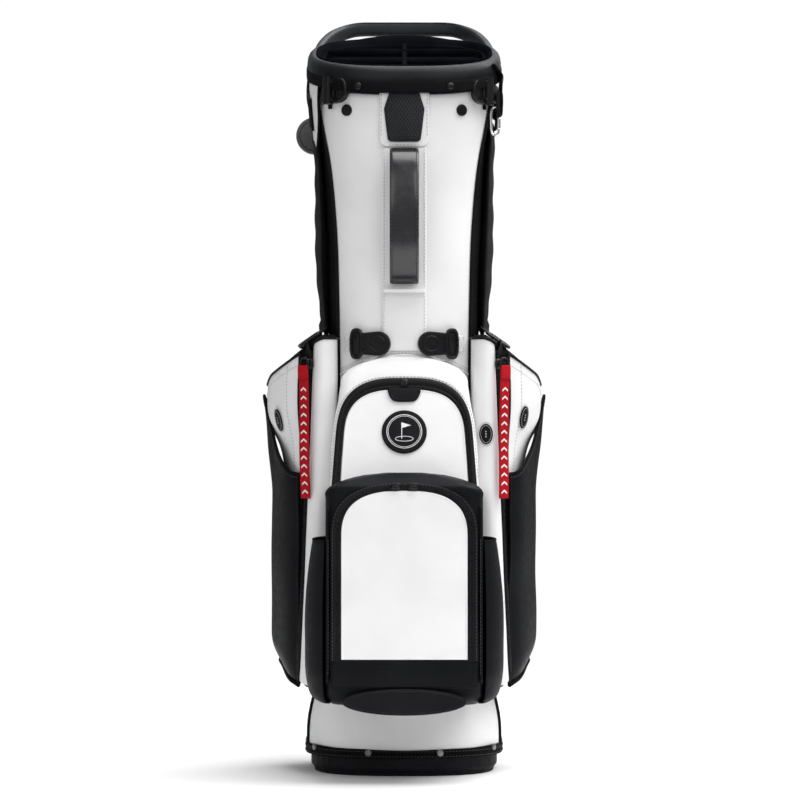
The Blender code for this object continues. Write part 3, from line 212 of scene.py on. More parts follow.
def arch(half_width, low, spring, top, power=2.35, count=56):
    """The outline of an arched door: straight sides up to spring, then a round top."""
    points = [Vector((half_width, mix(low, spring, k / 12))) for k in range(12)]
    for k in range(count + 1):
        x, y = superellipse(math.pi * k / count, half_width, top - spring, power=power)
        points.append(Vector((x, spring + y)))
    points += [Vector((-half_width, mix(spring, low, k / 12))) for k in range(1, 13)]
    return points


def closed_arch(half_width, low, spring, top, power=2.35):
    """An arch with points along its low edge too."""
    foot = [Vector((mix(-half_width, half_width, k / 24), low)) for k in range(1, 24)]
    return arch(half_width, low, spring, top, power) + foot


def valuables_frame(stand):
    """Plane of the sloping pocket face: X across, Y up the slope, Z out of it."""
    lean = Matrix.Rotation(math.pi / 2 - VALUABLES_LEAN, 4, "X")
    return Matrix.Translation(VALUABLES_BASE) @ lean @ Matrix.Translation((0, 0, stand))


def ball_frame(stand):
    """Plane of the ball pocket's face: X across, Y up, Z out of it."""
    return Matrix.Translation((0, BALL_FRONT - stand, 0)) @ Matrix.Rotation(math.pi / 2, 4, "X")


ZIP_X = ((0.105, 0.1225), (0.20, 0.1185), (0.305, 0.1140), (0.40, 0.1105), (0.505, 0.1080))


def zip_x(z):
    """How far out the side pocket's zip is at that height."""
    return profile(ZIP_X, z)


def side_outline(z, count):
    """The side pocket's outer plan line from the front seam to the rear, on the +X side."""
    reach = profile(SIDE_REACH, z)
    seam = profile(SEAM_X, max(z, 0.30)) + 0.0016
    zx = zip_x(z)
    corners = [
        Vector((seam, front_y(seam, z, 0.0015))), Vector((seam + 0.0040, -0.0830)),
        Vector(((seam + zx) / 2 + 0.002, -0.0915)), Vector((zx - 0.0030, -0.0860)),
        Vector((zx + 0.0040, POCKET_ZIP_Y + 0.008)), Vector((mix(zx, reach, 0.55), -0.0450)),
        Vector((reach - 0.0050, 0.0)), Vector((reach, 0.0350)), Vector((reach - 0.0060, 0.0700)),
        Vector((reach - 0.0250, 0.0900)), Vector((0.0960, 0.0880)), Vector((0.0850, 0.0740)),
    ]
    return smooth_through(corners, count)


def side_top(x):
    """Height of the side pocket's top edge: it drops away outwards."""
    corner = 0.0120 * max(0.0, (x - 0.157) / 0.0085) ** 2.2
    return POCKET_TOP - 0.0450 * max(0.0, (x - 0.095) / 0.068) ** 1.2 - corner


def side_low(x):
    """Height of the side pocket's low edge: it rises outwards."""
    return POCKET_LOW - 0.0040 + 0.70 * max(0.0, x - 0.118)


def wobble(point, size, amount, seed=0.0):
    """A soft unevenness of cloth: the same for the same place every run."""
    return amount * noise.noise(Vector((point.x, point.y, point.z)) / size + Vector((seed, 0, 0)))


# ---- materials ---------------------------------------------------------------------------
def add(tree, kind, inputs=None, **settings):
    node = tree.nodes.new(kind)
    for key, value in settings.items():
        setattr(node, key, value)
    for key, value in (inputs or {}).items():
        if isinstance(value, bpy.types.NodeSocket):
            tree.links.new(value, node.inputs[key])
        else:
            node.inputs[key].default_value = value
    return node


def coordinates(tree, which, scale=(1, 1, 1), turn=0.0):
    source = add(tree, "ShaderNodeTexCoord").outputs[which]
    inputs = {"Vector": source, "Scale": scale, "Rotation": (0, 0, turn)}
    return add(tree, "ShaderNodeMapping", inputs).outputs["Vector"]


def spread(tree, value, low, high, out_low=0.0, out_high=1.0):
    inputs = {"Value": value, "From Min": low, "From Max": high, "To Min": out_low, "To Max": out_high}
    return add(tree, "ShaderNodeMapRange", inputs, clamp=True).outputs["Result"]


def cloud(tree, scale, detail=3.0, which="Object", stretch=(1, 1, 1)):
    inputs = {"Vector": coordinates(tree, which, stretch), "Scale": scale, "Detail": detail}
    return add(tree, "ShaderNodeTexNoise", inputs).outputs["Fac"]


def bands(tree, pitch, direction, turn=0.0):
    """Parallel ridges a pitch apart, on the piece's UVs in metres."""
    where = coordinates(tree, "UV", (1 / pitch, 1 / pitch, 1), turn)
    inputs = {"Vector": where, "Scale": 0.314, "Distortion": 0.0}
    return add(tree, "ShaderNodeTexWave", inputs, bands_direction=direction).outputs["Fac"]


def combined(tree, operation, a, b):
    return add(tree, "ShaderNodeMath", {0: a, 1: b}, operation=operation).outputs[0]


def leather_grain(tree, cell=0.0011):
    where = coordinates(tree, "Object", (1 / cell,) * 3)
    cells = add(tree, "ShaderNodeTexVoronoi", {"Vector": where, "Scale": 1.0}, feature="DISTANCE_TO_EDGE")
    bumps = spread(tree, cells.outputs["Distance"], 0.0, 0.35)
    return combined(tree, "ADD", combined(tree, "MULTIPLY", bumps, 0.75), combined(
        tree, "MULTIPLY", cloud(tree, 2600, 2), 0.25))


def woven(tree, pitch=0.0010):
    """Over and under threads."""
    where = coordinates(tree, "UV", (1 / pitch, 1 / pitch, 1))
    over = add(tree, "ShaderNodeTexChecker", {"Vector": where, "Scale": 1.0}).outputs["Fac"]
    inputs = {0: over, 2: bands(tree, pitch, "X"), 3: bands(tree, pitch, "Y")}
    return add(tree, "ShaderNodeMix", inputs).outputs[0]


def spacer_mesh(tree, pitch=0.0026):
    """Rows of round holes, staggered."""
    where = coordinates(tree, "UV", (1 / pitch, 1 / pitch, 1), math.radians(45))
    inputs = {"Vector": where, "Scale": 1.0, "Randomness": 0.0}
    holes = add(tree, "ShaderNodeTexVoronoi", inputs, voronoi_dimensions="2D").outputs["Distance"]
    return spread(tree, holes, 0.22, 0.46)


def ribbed(tree, pitch=0.0016):
    return combined(tree, "MULTIPLY", bands(tree, pitch, "X"), bands(tree, 0.0009, "Y"))


def crosshatch(tree, pitch=0.0034):
    a = bands(tree, pitch, "X", math.radians(35))
    return combined(tree, "MAXIMUM", a, bands(tree, pitch, "X", math.radians(-35)))


def moulded(tree):
    return cloud(tree, 1500, 3)


def plush(tree):
    return cloud(tree, 700, 5)


def drawn(tree):
    return cloud(tree, 60, 4, stretch=(40, 40, 1))


def look(name, base, tint, rough, pattern, depth, patch=18.0, recess_shade=None, **sockets):
    """A material: two close tints in soft patches, an uneven roughness, and a fine relief.

    recess_shade is (colour, share of the relief that takes it): painted shade that darkens the low places of
    weaves, meshes and hatching.
    """
    material = bpy.data.materials.new(name)
    material.use_nodes = True
    tree = material.node_tree
    shader = tree.nodes["Principled BSDF"]
    patches = spread(tree, cloud(tree, patch), 0.35, 0.65)
    tints = add(tree, "ShaderNodeMix", data_type="RGBA")
    tree.links.new(patches, tints.inputs[0])
    tints.inputs[6].default_value = (*base, 1)
    tints.inputs[7].default_value = (*tint, 1)
    colour = tints.outputs[2]
    relief = pattern(tree)
    # painted shade: the low places of the relief take a darker colour, standing in for the shade in them
    if recess_shade:
        shaded_lows = add(tree, "ShaderNodeMix", data_type="RGBA")
        tree.links.new(spread(tree, relief, 0.0, recess_shade[1]), shaded_lows.inputs[0])
        shaded_lows.inputs[6].default_value = (*recess_shade[0], 1)
        tree.links.new(colour, shaded_lows.inputs[7])
        colour = shaded_lows.outputs[2]
    tree.links.new(colour, shader.inputs["Base Color"])
    tree.links.new(spread(tree, cloud(tree, patch * 7, 4), 0.3, 0.7, *rough), shader.inputs["Roughness"])
    bump = add(tree, "ShaderNodeBump", {"Height": relief, "Distance": depth, "Strength": 1.0})
    tree.links.new(bump.outputs["Normal"], shader.inputs["Normal"])
    for key, value in sockets.items():
        shader.inputs[key.replace("_", " ")].default_value = value
    return material


def make_looks():
    """All the materials, by finish name."""
    dull = {"Specular_IOR_Level": 0.22}
    return {
        "white_leatherette": look("white_leatherette", (0.80, 0.80, 0.805), (0.845, 0.845, 0.845),
                                  (0.42, 0.56), leather_grain, 0.00005, Specular_IOR_Level=0.35),
        "black_leatherette": look("black_leatherette", (0.0034, 0.0037, 0.0048), (0.0056, 0.0060, 0.0076),
                                  (0.40, 0.54), leather_grain, 0.00010, Specular_IOR_Level=0.095),
        # painted shade: the mesh's holes are darkened in colour
        "black_mesh": look("black_mesh", (0.016, 0.016, 0.018), (0.024, 0.024, 0.027), (0.75, 0.95),
                           spacer_mesh, 0.0009, recess_shade=((0.002, 0.002, 0.002), 0.8), **dull),
        # painted shade: the weave's low places are darkened in colour
        "black_nylon": look("black_nylon", (0.0035, 0.0035, 0.0045), (0.0060, 0.0060, 0.0070), (0.60, 0.80),
                            woven, 0.00025, recess_shade=((0.002, 0.002, 0.0025), 0.6), Specular_IOR_Level=0.07),
        "collar_plastic": look("collar_plastic", (0.006, 0.007, 0.009), (0.009, 0.0105, 0.0125), (0.36, 0.48),
                               moulded, 0.00003, Specular_IOR_Level=0.15),
        "grip_plastic": look("grip_plastic", (0.014, 0.0155, 0.018), (0.022, 0.024, 0.027), (0.34, 0.46),
                             moulded, 0.00003, Specular_IOR_Level=0.22),
        "black_plastic": look("black_plastic", (0.005, 0.005, 0.006), (0.008, 0.008, 0.009), (0.24, 0.36),
                              moulded, 0.00004, Specular_IOR_Level=0.26),
        "black_rubber": look("black_rubber", (0.005, 0.005, 0.0065), (0.008, 0.008, 0.010), (0.52, 0.70),
                             moulded, 0.00008, Specular_IOR_Level=0.12),
        # painted shade: the hatching's grooves are darkened in colour
        "hatched_rubber": look("hatched_rubber", (0.020, 0.021, 0.024), (0.032, 0.033, 0.037), (0.50, 0.65),
                               crosshatch, 0.0006, recess_shade=((0.002, 0.002, 0.003), 0.7),
                               Specular_IOR_Level=0.1),
        "glossy_strap": look("glossy_strap", (0.014, 0.014, 0.016), (0.020, 0.020, 0.023), (0.16, 0.28),
                             leather_grain, 0.00003, Coat_Weight=0.4, Coat_Roughness=0.15),
        "lining": look("lining", (0.003, 0.0032, 0.004), (0.006, 0.0065, 0.009), (0.85, 1.0), plush, 0.0007,
                       Specular_IOR_Level=0.0),
        # painted shade: the weave's low places take a darker red
        "red_webbing": look("red_webbing", (0.47, 0.003, 0.010), (0.56, 0.006, 0.015), (0.45, 0.62),
                            woven, 0.00018, recess_shade=((0.28, 0.001, 0.005), 0.5), Specular_IOR_Level=0.12),
        "white_print": look("white_print", (0.80, 0.80, 0.80), (0.88, 0.88, 0.88), (0.50, 0.65),
                            woven, 0.00008),
        "grey_print": look("grey_print", (0.42, 0.42, 0.43), (0.52, 0.52, 0.53), (0.45, 0.60),
                           moulded, 0.00003),
        "smoke_plastic": look("smoke_plastic", (0.060, 0.060, 0.064), (0.085, 0.085, 0.090), (0.22, 0.34),
                              moulded, 0.00003, Specular_IOR_Level=0.45),
        "gunmetal": look("gunmetal", (0.14, 0.14, 0.145), (0.22, 0.22, 0.225), (0.30, 0.45), drawn, 0.00002,
                         Metallic=1.0),
        "chrome": look("chrome", (0.74, 0.74, 0.76), (0.84, 0.84, 0.85), (0.08, 0.18), drawn, 0.00001,
                       Metallic=1.0),
        "black_aluminium": look("black_aluminium", (0.020, 0.020, 0.022), (0.035, 0.035, 0.038), (0.28, 0.42),
                                drawn, 0.00002, Metallic=0.85),
        "steel": look("steel", (0.38, 0.38, 0.39), (0.52, 0.52, 0.53), (0.28, 0.42), drawn, 0.00002,
                      Metallic=1.0),
        "zip_black": look("zip_black", (0.004, 0.004, 0.005), (0.007, 0.007, 0.008), (0.36, 0.50),
                          moulded, 0.00005, Specular_IOR_Level=0.14),
        "white_thread": look("white_thread", (0.48, 0.48, 0.48), (0.56, 0.56, 0.56), (0.60, 0.80),
                             moulded, 0.00004),
        "black_thread": look("black_thread", (0.020, 0.020, 0.022), (0.030, 0.030, 0.033), (0.55, 0.75),
                             moulded, 0.00004),
        # painted shade: the grooves between the ribs are darkened in colour
        "black_webbing": look("black_webbing", (0.007, 0.007, 0.008), (0.012, 0.012, 0.013), (0.55, 0.75),
                              ribbed, 0.0003, recess_shade=((0.002, 0.002, 0.002), 0.5), Specular_IOR_Level=0.12),
    }


SLOT_OF = {  # looks that aren't slots of their own would take the slot of what they are made of; nothing applies this table
    "grip_plastic": "collar_plastic", "hatched_rubber": "black_rubber",
    "smoke_plastic": "black_rubber", "gunmetal": "steel",
    "white_print": "red_webbing", "grey_print": "black_rubber",
    "white_thread": "white_leatherette", "black_thread": "black_leatherette", "black_webbing": "black_nylon",
}
LOOKS = make_looks()


# ---- mesh building -----------------------------------------------------------------------
def running_lengths(points):
    total, found = 0.0, [0.0]
    for a, b in zip(points, points[1:]):
        total += (b - a).length
        found.append(total)
    return found


class Heap:
    """One mesh, gathered from grids and lofted solids, with its UVs in metres."""

    def __init__(self):
        self.bm = bmesh.new()
        self.uv = self.bm.loops.layers.uv.new("UVMap")

    def face(self, verts, places=None):
        face = self.bm.faces.new(verts)
        for k, loop in enumerate(face.loops):
            loop[self.uv].uv = places[k] if places else verts[k].co.xz
        return face

    def grid(self, rows, around=False):
        """Quads over rows of points. around joins each row's end to its start."""
        verts = [[self.bm.verts.new(p) for p in row] for row in rows]
        middle = rows[len(rows) // 2]
        across = running_lengths([*middle, middle[0]] if around else middle)
        along = running_lengths([row[len(row) // 2] for row in rows])
        count = len(middle)
        for r in range(len(rows) - 1):
            for c in range(count if around else count - 1):
                d = (c + 1) % count
                self.face((verts[r][c], verts[r][d], verts[r + 1][d], verts[r + 1][c]),
                          ((across[c], along[r]), (across[c + 1], along[r]),
                           (across[c + 1], along[r + 1]), (across[c], along[r + 1])))
        return verts

    def solid(self, rings, closed=False, dome=0.0):
        """A closed solid through rings, with its two ends capped, or closed on itself."""
        verts = self.grid([*rings, rings[0]] if closed else rings, around=True)
        if closed:
            return self
        for ring, points, beside in ((verts[0], rings[0], rings[1]), (verts[-1], rings[-1], rings[-2])):
            middle = sum(points, Vector()) / len(points)
            away = middle - sum(beside, Vector()) / len(beside)
            tip = self.bm.verts.new(middle + away.normalized() * dome if away.length > 1e-9 else middle)
            for k, vert in enumerate(ring):
                self.face((vert, ring[(k + 1) % len(ring)], tip))
        return self

    def piece(self, name, finish, body="bag", replaces=(), sharp=None, soften=0, thick=0.0, outward=None):
        """Makes the object, gives it its look as material and rides it on its body."""
        bmesh.ops.remove_doubles(self.bm, verts=self.bm.verts, dist=1e-6)
        bmesh.ops.recalc_face_normals(self.bm, faces=self.bm.faces)
        if outward:
            total = sum(f.normal.dot(outward(f.calc_center_median())) * f.calc_area() for f in self.bm.faces)
            if total < 0:
                bmesh.ops.reverse_faces(self.bm, faces=self.bm.faces)
        mesh = bpy.data.meshes.new(name)
        self.bm.to_mesh(mesh)
        self.bm.free()
        mesh.materials.append(LOOKS[finish])
        mesh.shade_smooth()
        if sharp:
            mesh.set_sharp_from_angle(angle=math.radians(sharp))
        obj = bpy.data.objects.new(name, mesh)
        bpy.context.scene.collection.objects.link(obj)
        if thick:
            skin = obj.modifiers.new("Thickness", "SOLIDIFY")
            skin.thickness = thick
            skin.offset = -1
        if soften:
            round_off = obj.modifiers.new("Soften", "SUBSURF")
            round_off.levels = round_off.render_levels = soften
        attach(obj, body)
        SLOT_OF.get(finish, finish)
        if replaces:
            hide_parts(*([replaces] if isinstance(replaces, str) else replaces))
        return obj


def from_axis(point):
    """The way out from the tube's middle line."""
    return Vector((point.x, point.y, 0))


def circle(radius, sides=10):
    return [(radius * math.cos(2 * math.pi * k / sides), radius * math.sin(2 * math.pi * k / sides))
            for k in range(sides)]


def rounded(half_u, half_v, power=4.0, sides=16):
    return [superellipse(2 * math.pi * (k + 0.5) / sides, half_u, half_v, power=power) for k in range(sides)]


def sweep(path, section, closed=False, up=None):
    """Rings of a (u, v) section carried along a path. v keeps close to up, if given."""
    rings, side = [], None
    count = len(path)
    for i, point in enumerate(path):
        ahead = path[(i + 1) % count] if closed or i < count - 1 else point
        behind = path[i - 1] if closed or i else point
        along = (ahead - behind).normalized()
        if up:
            v = (up - along * up.dot(along)).normalized()
            u = v.cross(along)
        else:
            if side is None:
                side = along.orthogonal()
            side = (side - along * side.dot(along)).normalized()
            u, v = side, along.cross(side)
        shape = section(i / max(1, count - 1)) if callable(section) else section
        rings.append([point + u * a + v * b for a, b in shape])
    return rings


def tube(name, path, radius, finish, closed=False, sides=10, **more):
    rings = sweep(path, circle(radius, sides), closed)
    return Heap().solid(rings, closed, dome=radius * 0.5).piece(name, finish, sharp=50, **more)


def paced(path, pitch, start=0.5):
    """(point, direction) pairs at even spacing along a path."""
    lengths = running_lengths(path)
    count = int(lengths[-1] / pitch)
    found, i = [], 0
    for k in range(count):
        at = (k + start) * lengths[-1] / count
        while i < len(path) - 2 and lengths[i + 1] < at:
            i += 1
        t = (at - lengths[i]) / max(1e-9, lengths[i + 1] - lengths[i])
        found.append((mix(path[i], path[i + 1], t), (path[i + 1] - path[i]).normalized()))
    return found


def sew(heap, path, out, pitch=0.0042, length=0.0031, radius=0.00050, turn=0.0):
    """Adds one row of thread stitches. out is a direction, or gives it for a point."""
    for point, ahead in paced(path, pitch):
        normal = (out(point) if callable(out) else out).normalized()
        if turn:
            ahead = Matrix.Rotation(turn, 3, normal) @ ahead
        side = ahead.cross(normal).normalized()
        rings = []
        for t, width, lift in ((-0.5, 0.3, -0.7), (-0.28, 1, 0.3), (0.28, 1, 0.3), (0.5, 0.3, -0.7)):
            centre = point + ahead * (t * length) + normal * (lift * radius)
            rings.append([centre + (side * u + normal * v) * width for u, v in circle(radius, 6)])
        heap.solid(rings)
    return heap


def stud(heap, at, out, radius, height, rim=0.7):
    """Adds a domed rivet or snap cap that stands on a surface."""
    steps = ((1.0, -0.4), (1.0, 0.35), (rim + 0.15, 0.8), (rim * 0.7, 1.0), (rim * 0.35, 1.06))
    side = out.orthogonal().normalized()
    other = out.cross(side)
    heap.solid([[at + out * (height * h) + side * (u * s) + other * (v * s) for u, v in circle(radius, 20)]
                for s, h in steps])
    return heap


def inset(outline, distance):
    """The outline moved inwards along its own normals."""
    count = len(outline)
    centre = sum(outline, Vector((0, 0))) / count
    found = []
    for k, point in enumerate(outline):
        ahead = (outline[(k + 1) % count] - outline[k - 1]).normalized()
        normal = Vector((-ahead.y, ahead.x))
        if normal.dot(centre - point) < 0:
            normal = -normal
        found.append(point + normal * distance)
    return found


def rim_wire(heap, outline, matrix, lift, radius, sides=12):
    """Adds a wire that follows a flat outline, just above its face."""
    heap.solid(sweep(flat_path(outline, matrix, lift), circle(radius, sides), closed=True), closed=True)


def plate_rings(outline, thick, place, crown=0.0, edge=0.0012, waves=None):
    """Rings of a plate with a rounded edge and a crowned face. place maps (x, y, height) to space."""
    rings = [[place(p.x, p.y, 0.0) for p in outline], [place(p.x, p.y, thick - edge) for p in outline]]
    for turn in (30, 60, 90):
        a = math.radians(turn)
        rim = inset(outline, edge * (1 - math.cos(a)))
        rings.append([place(p.x, p.y, thick - edge * (1 - math.sin(a))) for p in rim])
    rim = inset(outline, edge * 1.4)
    centre = sum(rim, Vector((0, 0))) / len(rim)
    for share in (1.0, 0.97, 0.9, 0.8, 0.66, 0.5, 0.34, 0.18, 0.06):
        height = thick + crown * (1 - share ** 2.4)
        ring = []
        for p in rim:
            q = centre + (p - centre) * share
            ring.append(place(q.x, q.y, height + (waves(q.x, q.y) if waves else 0.0)))
        rings.append(ring)
    return rings


def on_frame(matrix):
    return lambda x, y, height: matrix @ Vector((x, y, height))


def plate(name, outline, thick, matrix, finish, crown=0.0, edge=0.0012, waves=None, **more):
    rings = plate_rings(outline, thick, on_frame(matrix), crown, edge, waves)
    return Heap().solid(rings).piece(name, finish, sharp=60, **more)


def strip(heap, inner, outer, heights, matrix):
    """Adds a band between two outlines with the given (share across, height) profile."""
    rows = []
    for share, height in heights:
        rows.append([matrix @ Vector((*mix(a, b, share), height)) for a, b in zip(inner, outer)])
    under = [[matrix @ Vector((*mix(a, b, share), 0.0)) for a, b in zip(inner, outer)]
             for share in (1.0, 0.0)]
    heap.grid([*rows, *under, rows[0]])
    loop = [*rows, *under]
    for end in (0, -1):
        heap.bm.faces.new([heap.bm.verts.new(row[end]) for row in loop])
    return heap


def flat_path(outline, matrix, height=0.0):
    return [matrix @ Vector((p.x, p.y, height)) for p in outline]


def declare_sheet(obj, rows):
    """Measures the cut size of a sheet of cloth over its own surface, and does nothing more with it."""
    wide = max(running_lengths(row)[-1] for row in rows)
    tall = max(running_lengths(list(column))[-1] for column in zip(*rows))
    for low, high in zip(rows, rows[1:]):
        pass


# ---- stage -------------------------------------------------------------------------------
def make_stage():
    """The camera, the pale floor and the soft lamps."""
    scene = bpy.context.scene
    scene.view_settings.view_transform = "Standard"
    camera = bpy.data.objects.new("camera", bpy.data.cameras.new("camera"))
    camera.location = (-0.005, -4.2, 0.4453)
    camera.rotation_euler = (math.pi / 2, 0, 0)
    camera.data.lens = 156
    camera.data.sensor_width = 36
    scene.collection.objects.link(camera)
    scene.camera = camera

    floor = Heap()
    half = 1.25
    floor.grid([[Vector((x, y, 0)) for x in (-half, half)] for y in (-half, half)])
    mesh = bpy.data.meshes.new("floor")
    floor.bm.to_mesh(mesh)
    floor.bm.free()
    ground = bpy.data.objects.new("floor", mesh)
    mesh.materials.append(look("floor_paint", (0.90, 0.90, 0.91), (0.93, 0.93, 0.93), (0.85, 0.95),
                               moulded, 0.00002, patch=2.0, Specular_IOR_Level=0.1))
    scene.collection.objects.link(ground)
    ground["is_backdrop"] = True

    world = bpy.data.worlds.new("studio")
    world.use_nodes = True
    tree = world.node_tree
    tree.nodes.clear()
    seen = add(tree, "ShaderNodeBackground", {"Color": (1, 1, 1, 1), "Strength": 1.02})
    lit = add(tree, "ShaderNodeBackground", {"Color": (1, 1, 1, 1), "Strength": 0.27})
    both = add(tree, "ShaderNodeMixShader", {
        0: add(tree, "ShaderNodeLightPath").outputs["Is Camera Ray"],
        1: lit.outputs[0], 2: seen.outputs[0]})
    out = add(tree, "ShaderNodeOutputWorld")
    tree.links.new(both.outputs[0], out.inputs["Surface"])
    scene.world = world

    lamps = (  # name, where it stands, size, power
        ("key", (1.5, -3.4, 2.7), 2.0, 31),
        ("fill", (-1.6, -3.6, 2.3), 2.4, 26),
        ("overhead", (0.9, 0.1, 2.9), 3.4, 175),
        ("rear", (0.6, 3.6, 2.2), 2.4, 12),
    )
    for name, place, size, power in lamps:
        light = bpy.data.lights.new(name, "AREA")
        light.size = size
        light.energy = power
        lamp = bpy.data.objects.new(name, light)
        lamp.location = place
        lamp.rotation_euler = (Vector((0, 0, 0.45)) - Vector(place)).to_track_quat("-Z", "Y").to_euler()
        scene.collection.objects.link(lamp)


# ---- tube --------------------------------------------------------------------------------
SEAM_GAP = 0.004


def front_edges(share):
    edge = seam_angle(share)
    return -math.pi - edge + SEAM_GAP, edge - SEAM_GAP


def right_edges(share):
    return seam_angle(share) + SEAM_GAP, back_seam_angle(share) - SEAM_GAP


def left_edges(share):
    first, last = right_edges(share)
    return math.pi - last, math.pi - first


def back_edges(share):
    edge = back_seam_angle(share)
    return edge + SEAM_GAP, math.pi - edge - SEAM_GAP


def panel(name, edges, finish, amount, seed, rows=64, columns=24):
    """One sewn side of the tube, a little uneven between its seams."""
    surface = []
    for r in range(rows + 1):
        share = r / rows
        first, last = edges(share)
        row = []
        for c in range(columns + 1):
            angle = mix(first, last, c / columns)
            point = body_point(angle, body_height(share, angle))
            calm = math.sin(math.pi * c / columns) ** 0.5 * min(1.0, 6 * (1 - share))
            row.append(point + body_normal(point) * (wobble(point, 0.07, amount, seed) - amount * 0.5) * calm)
        surface.append(row)
    heap = Heap()
    heap.grid(surface)
    obj = heap.piece(name, finish, replaces=name, thick=PANEL * 0.85, soften=1, outward=from_axis)
    declare_sheet(obj, surface)
    return obj


def seam_path(angle_of, side, offset, low=0.0, high=1.0, count=90):
    path = []
    for k in range(count):
        share = mix(low, high, k / (count - 1))
        angle = angle_of(share)
        path.append(mirrored(body_point(angle, body_height(share, angle), offset), side))
    return path


def make_tube():
    """The four cloth panels of the tube, with their piping and seams."""
    panel("front_panel", front_edges, "white_leatherette", 0.0007, 3.0)
    panel("right_side_panel", right_edges, "black_nylon", 0.0014, 7.0)
    panel("left_side_panel", left_edges, "black_nylon", 0.0014, 11.0)
    panel("back_panel", back_edges, "black_nylon", 0.0012, 15.0)
    threads = Heap()
    for side, name in SIDES:
        tube(f"front_piping_{name}", seam_path(seam_angle, side, 0.0006), 0.0022, "black_leatherette")
        tube(f"back_piping_{name}", seam_path(back_seam_angle, side, 0.0004), 0.0016, "black_leatherette")
        sew(threads, seam_path(lambda s: seam_angle(s) - 0.045, side, 0.0002, 0.60, 0.985), body_normal)
    threads.piece("front_seam_stitching", "white_thread")

    lining = []
    for r in range(31):
        row = []
        for c in range(72):
            angle = 2 * math.pi * c / 72
            row.append(body_point(angle, body_height(mix(0.03, 0.995, r / 30), angle), -0.0029))
        lining.append(row)
    heap = Heap()
    heap.grid(lining, around=True)
    heap.piece("tube_lining", "lining", thick=0.0010, outward=from_axis)


# ---- collar, grab handle, dividers -------------------------------------------------------
COLLAR_SWELL = 0.0040  # how far the collar's rear edge rises in the middle


def collar_point(angle, offset, height):
    x, y = superellipse(angle, COLLAR_HALF_WIDTH, COLLAR_HALF_DEPTH, offset)
    return Vector((x, y, lip(y) + height))


def raised(point, height):
    """Lifts a point of the collar where its rear edge swells under the grab handle."""
    rise = COLLAR_SWELL * max(0.0, 1 - (point.x / 0.056) ** 2)
    rise *= max(0.0, min(1.0, (point.y - 0.04) / 0.05))
    point.z += rise * max(0.0, min(1.0, (height + 0.029) / 0.020))
    return point


def make_collar():
    """The moulded collar, its grab handle, binding, lining cuff, rivets and snap buttons."""
    shape = (
        (-0.0006, -0.0290), (0.0008, -0.0286), (0.0014, -0.0262), (0.0014, -0.0212), (0.0006, -0.0204),
        (0.0006, -0.0196), (0.0014, -0.0188), (0.0016, -0.0130), (0.0010, -0.0080), (-0.0006, -0.0042),
        (-0.0034, -0.0014), (-0.0068, -0.0002), (-0.0102, -0.0008), (-0.0132, -0.0034), (-0.0150, -0.0070),
        (-0.0158, -0.0120), (-0.0160, -0.0280), (-0.0150, -0.0290),
    )
    rings = []
    for k in range(144):
        ring = []
        for off, h in shape:
            ring.append(raised(collar_point(2 * math.pi * k / 144, off, h), h))
        rings.append(ring)
    heap = Heap()
    heap.solid(rings, closed=True)
    half = [Vector((0.1080, 0.0150, 0.8540)), Vector((0.1065, 0.0450, 0.8635)),
            Vector((0.1005, 0.0760, 0.8800)), Vector((0.0890, 0.1060, 0.8945)),
            Vector((0.0745, 0.1290, 0.9036)), Vector((0.0565, 0.1400, 0.9088)),
            Vector((0.0280, 0.1445, 0.9097)),
            Vector((0.0, 0.1450, 0.9098))]
    path = smooth_through(half + [mirrored(p, -1) for p in reversed(half[:-1])], 121)
    heap.piece("top_collar", "collar_plastic", replaces="top_collar", sharp=55)
    grip = Heap()
    grip.solid(sweep(path, rounded(0.0054, 0.0088, 3.2, 20), up=UP))
    grip.piece("grab_handle", "grip_plastic", sharp=55)

    lines = Heap()
    for side in (-1, 1):
        cut = [p for p in path if 0.045 < side * p.x < 0.068 and p.y > 0.13]
        band = [p + Vector((0, -0.0052, mix(-0.0075, 0.0075, k / (len(cut) - 1)))) for k, p in enumerate(cut)]
        lines.solid(sweep(band, circle(0.00035, 6)))
    for low, high in ((0.0070, 0.0078), (-0.0072, -0.0064)):
        edge = [p + Vector((0, -0.0047, (low + high) / 2)) for p in path if abs(p.x) < 0.075 and p.y > 0.13]
        lines.solid(sweep(edge, circle(0.00045, 6)))
    lines.piece("grab_handle_lines", "black_plastic")

    band_shape = ((0.0004, -0.0305), (0.0022, -0.0300), (0.0026, -0.0270), (0.0026, -0.0195),
                  (0.0020, -0.0172), (0.0004, -0.0168))
    band = Heap()
    band.solid([[collar_point(2 * math.pi * k / 144, off, h) for off, h in band_shape] for k in range(144)],
               closed=True)
    band.piece("collar_binding", "black_nylon", sharp=60)

    inner_shape = ((-0.0092, -0.0002), (-0.0108, 0.0000), (-0.0135, -0.0024), (-0.0155, -0.0064),
                   (-0.0166, -0.0120), (-0.0168, -0.0280))
    rows = []
    for k in range(145):
        row = []
        for off, h in inner_shape:
            row.append(raised(collar_point(2 * math.pi * k / 144, off, h + 0.0004), h))
        rows.append(row)
    cuff = Heap()
    cuff.grid(rows)
    cuff.piece("collar_cuff", "lining", thick=-0.0006)

    rivets = Heap()
    for side in (-1, 1):
        turn = -math.acos((0.0535 / COLLAR_HALF_WIDTH) ** 1.3)
        point = mirrored(collar_point(turn, 0.0028, -0.0235), side)
        stud(rivets, point, body_normal(point), 0.0044, 0.0026)
        point = mirrored(body_point(angle_at(0.0680, 0.789), 0.789, 0.0003), side)
        stud(rivets, point, body_normal(point), 0.0070, 0.0022, rim=0.8)
    rivets.piece("snap_buttons", "black_plastic", sharp=50)


def bar(start, end, half_width, half_height, count=24):
    """Rings of a padded bar that tapers at its two ends."""
    path = [mix(start, end, k / count) for k in range(count + 1)]
    return sweep(path, lambda s: rounded(half_width * min(1.0, 0.55 + 8 * min(s, 1 - s)),
                                         half_height * min(1.0, 0.55 + 8 * min(s, 1 - s)), 2.4, 12), up=UP)


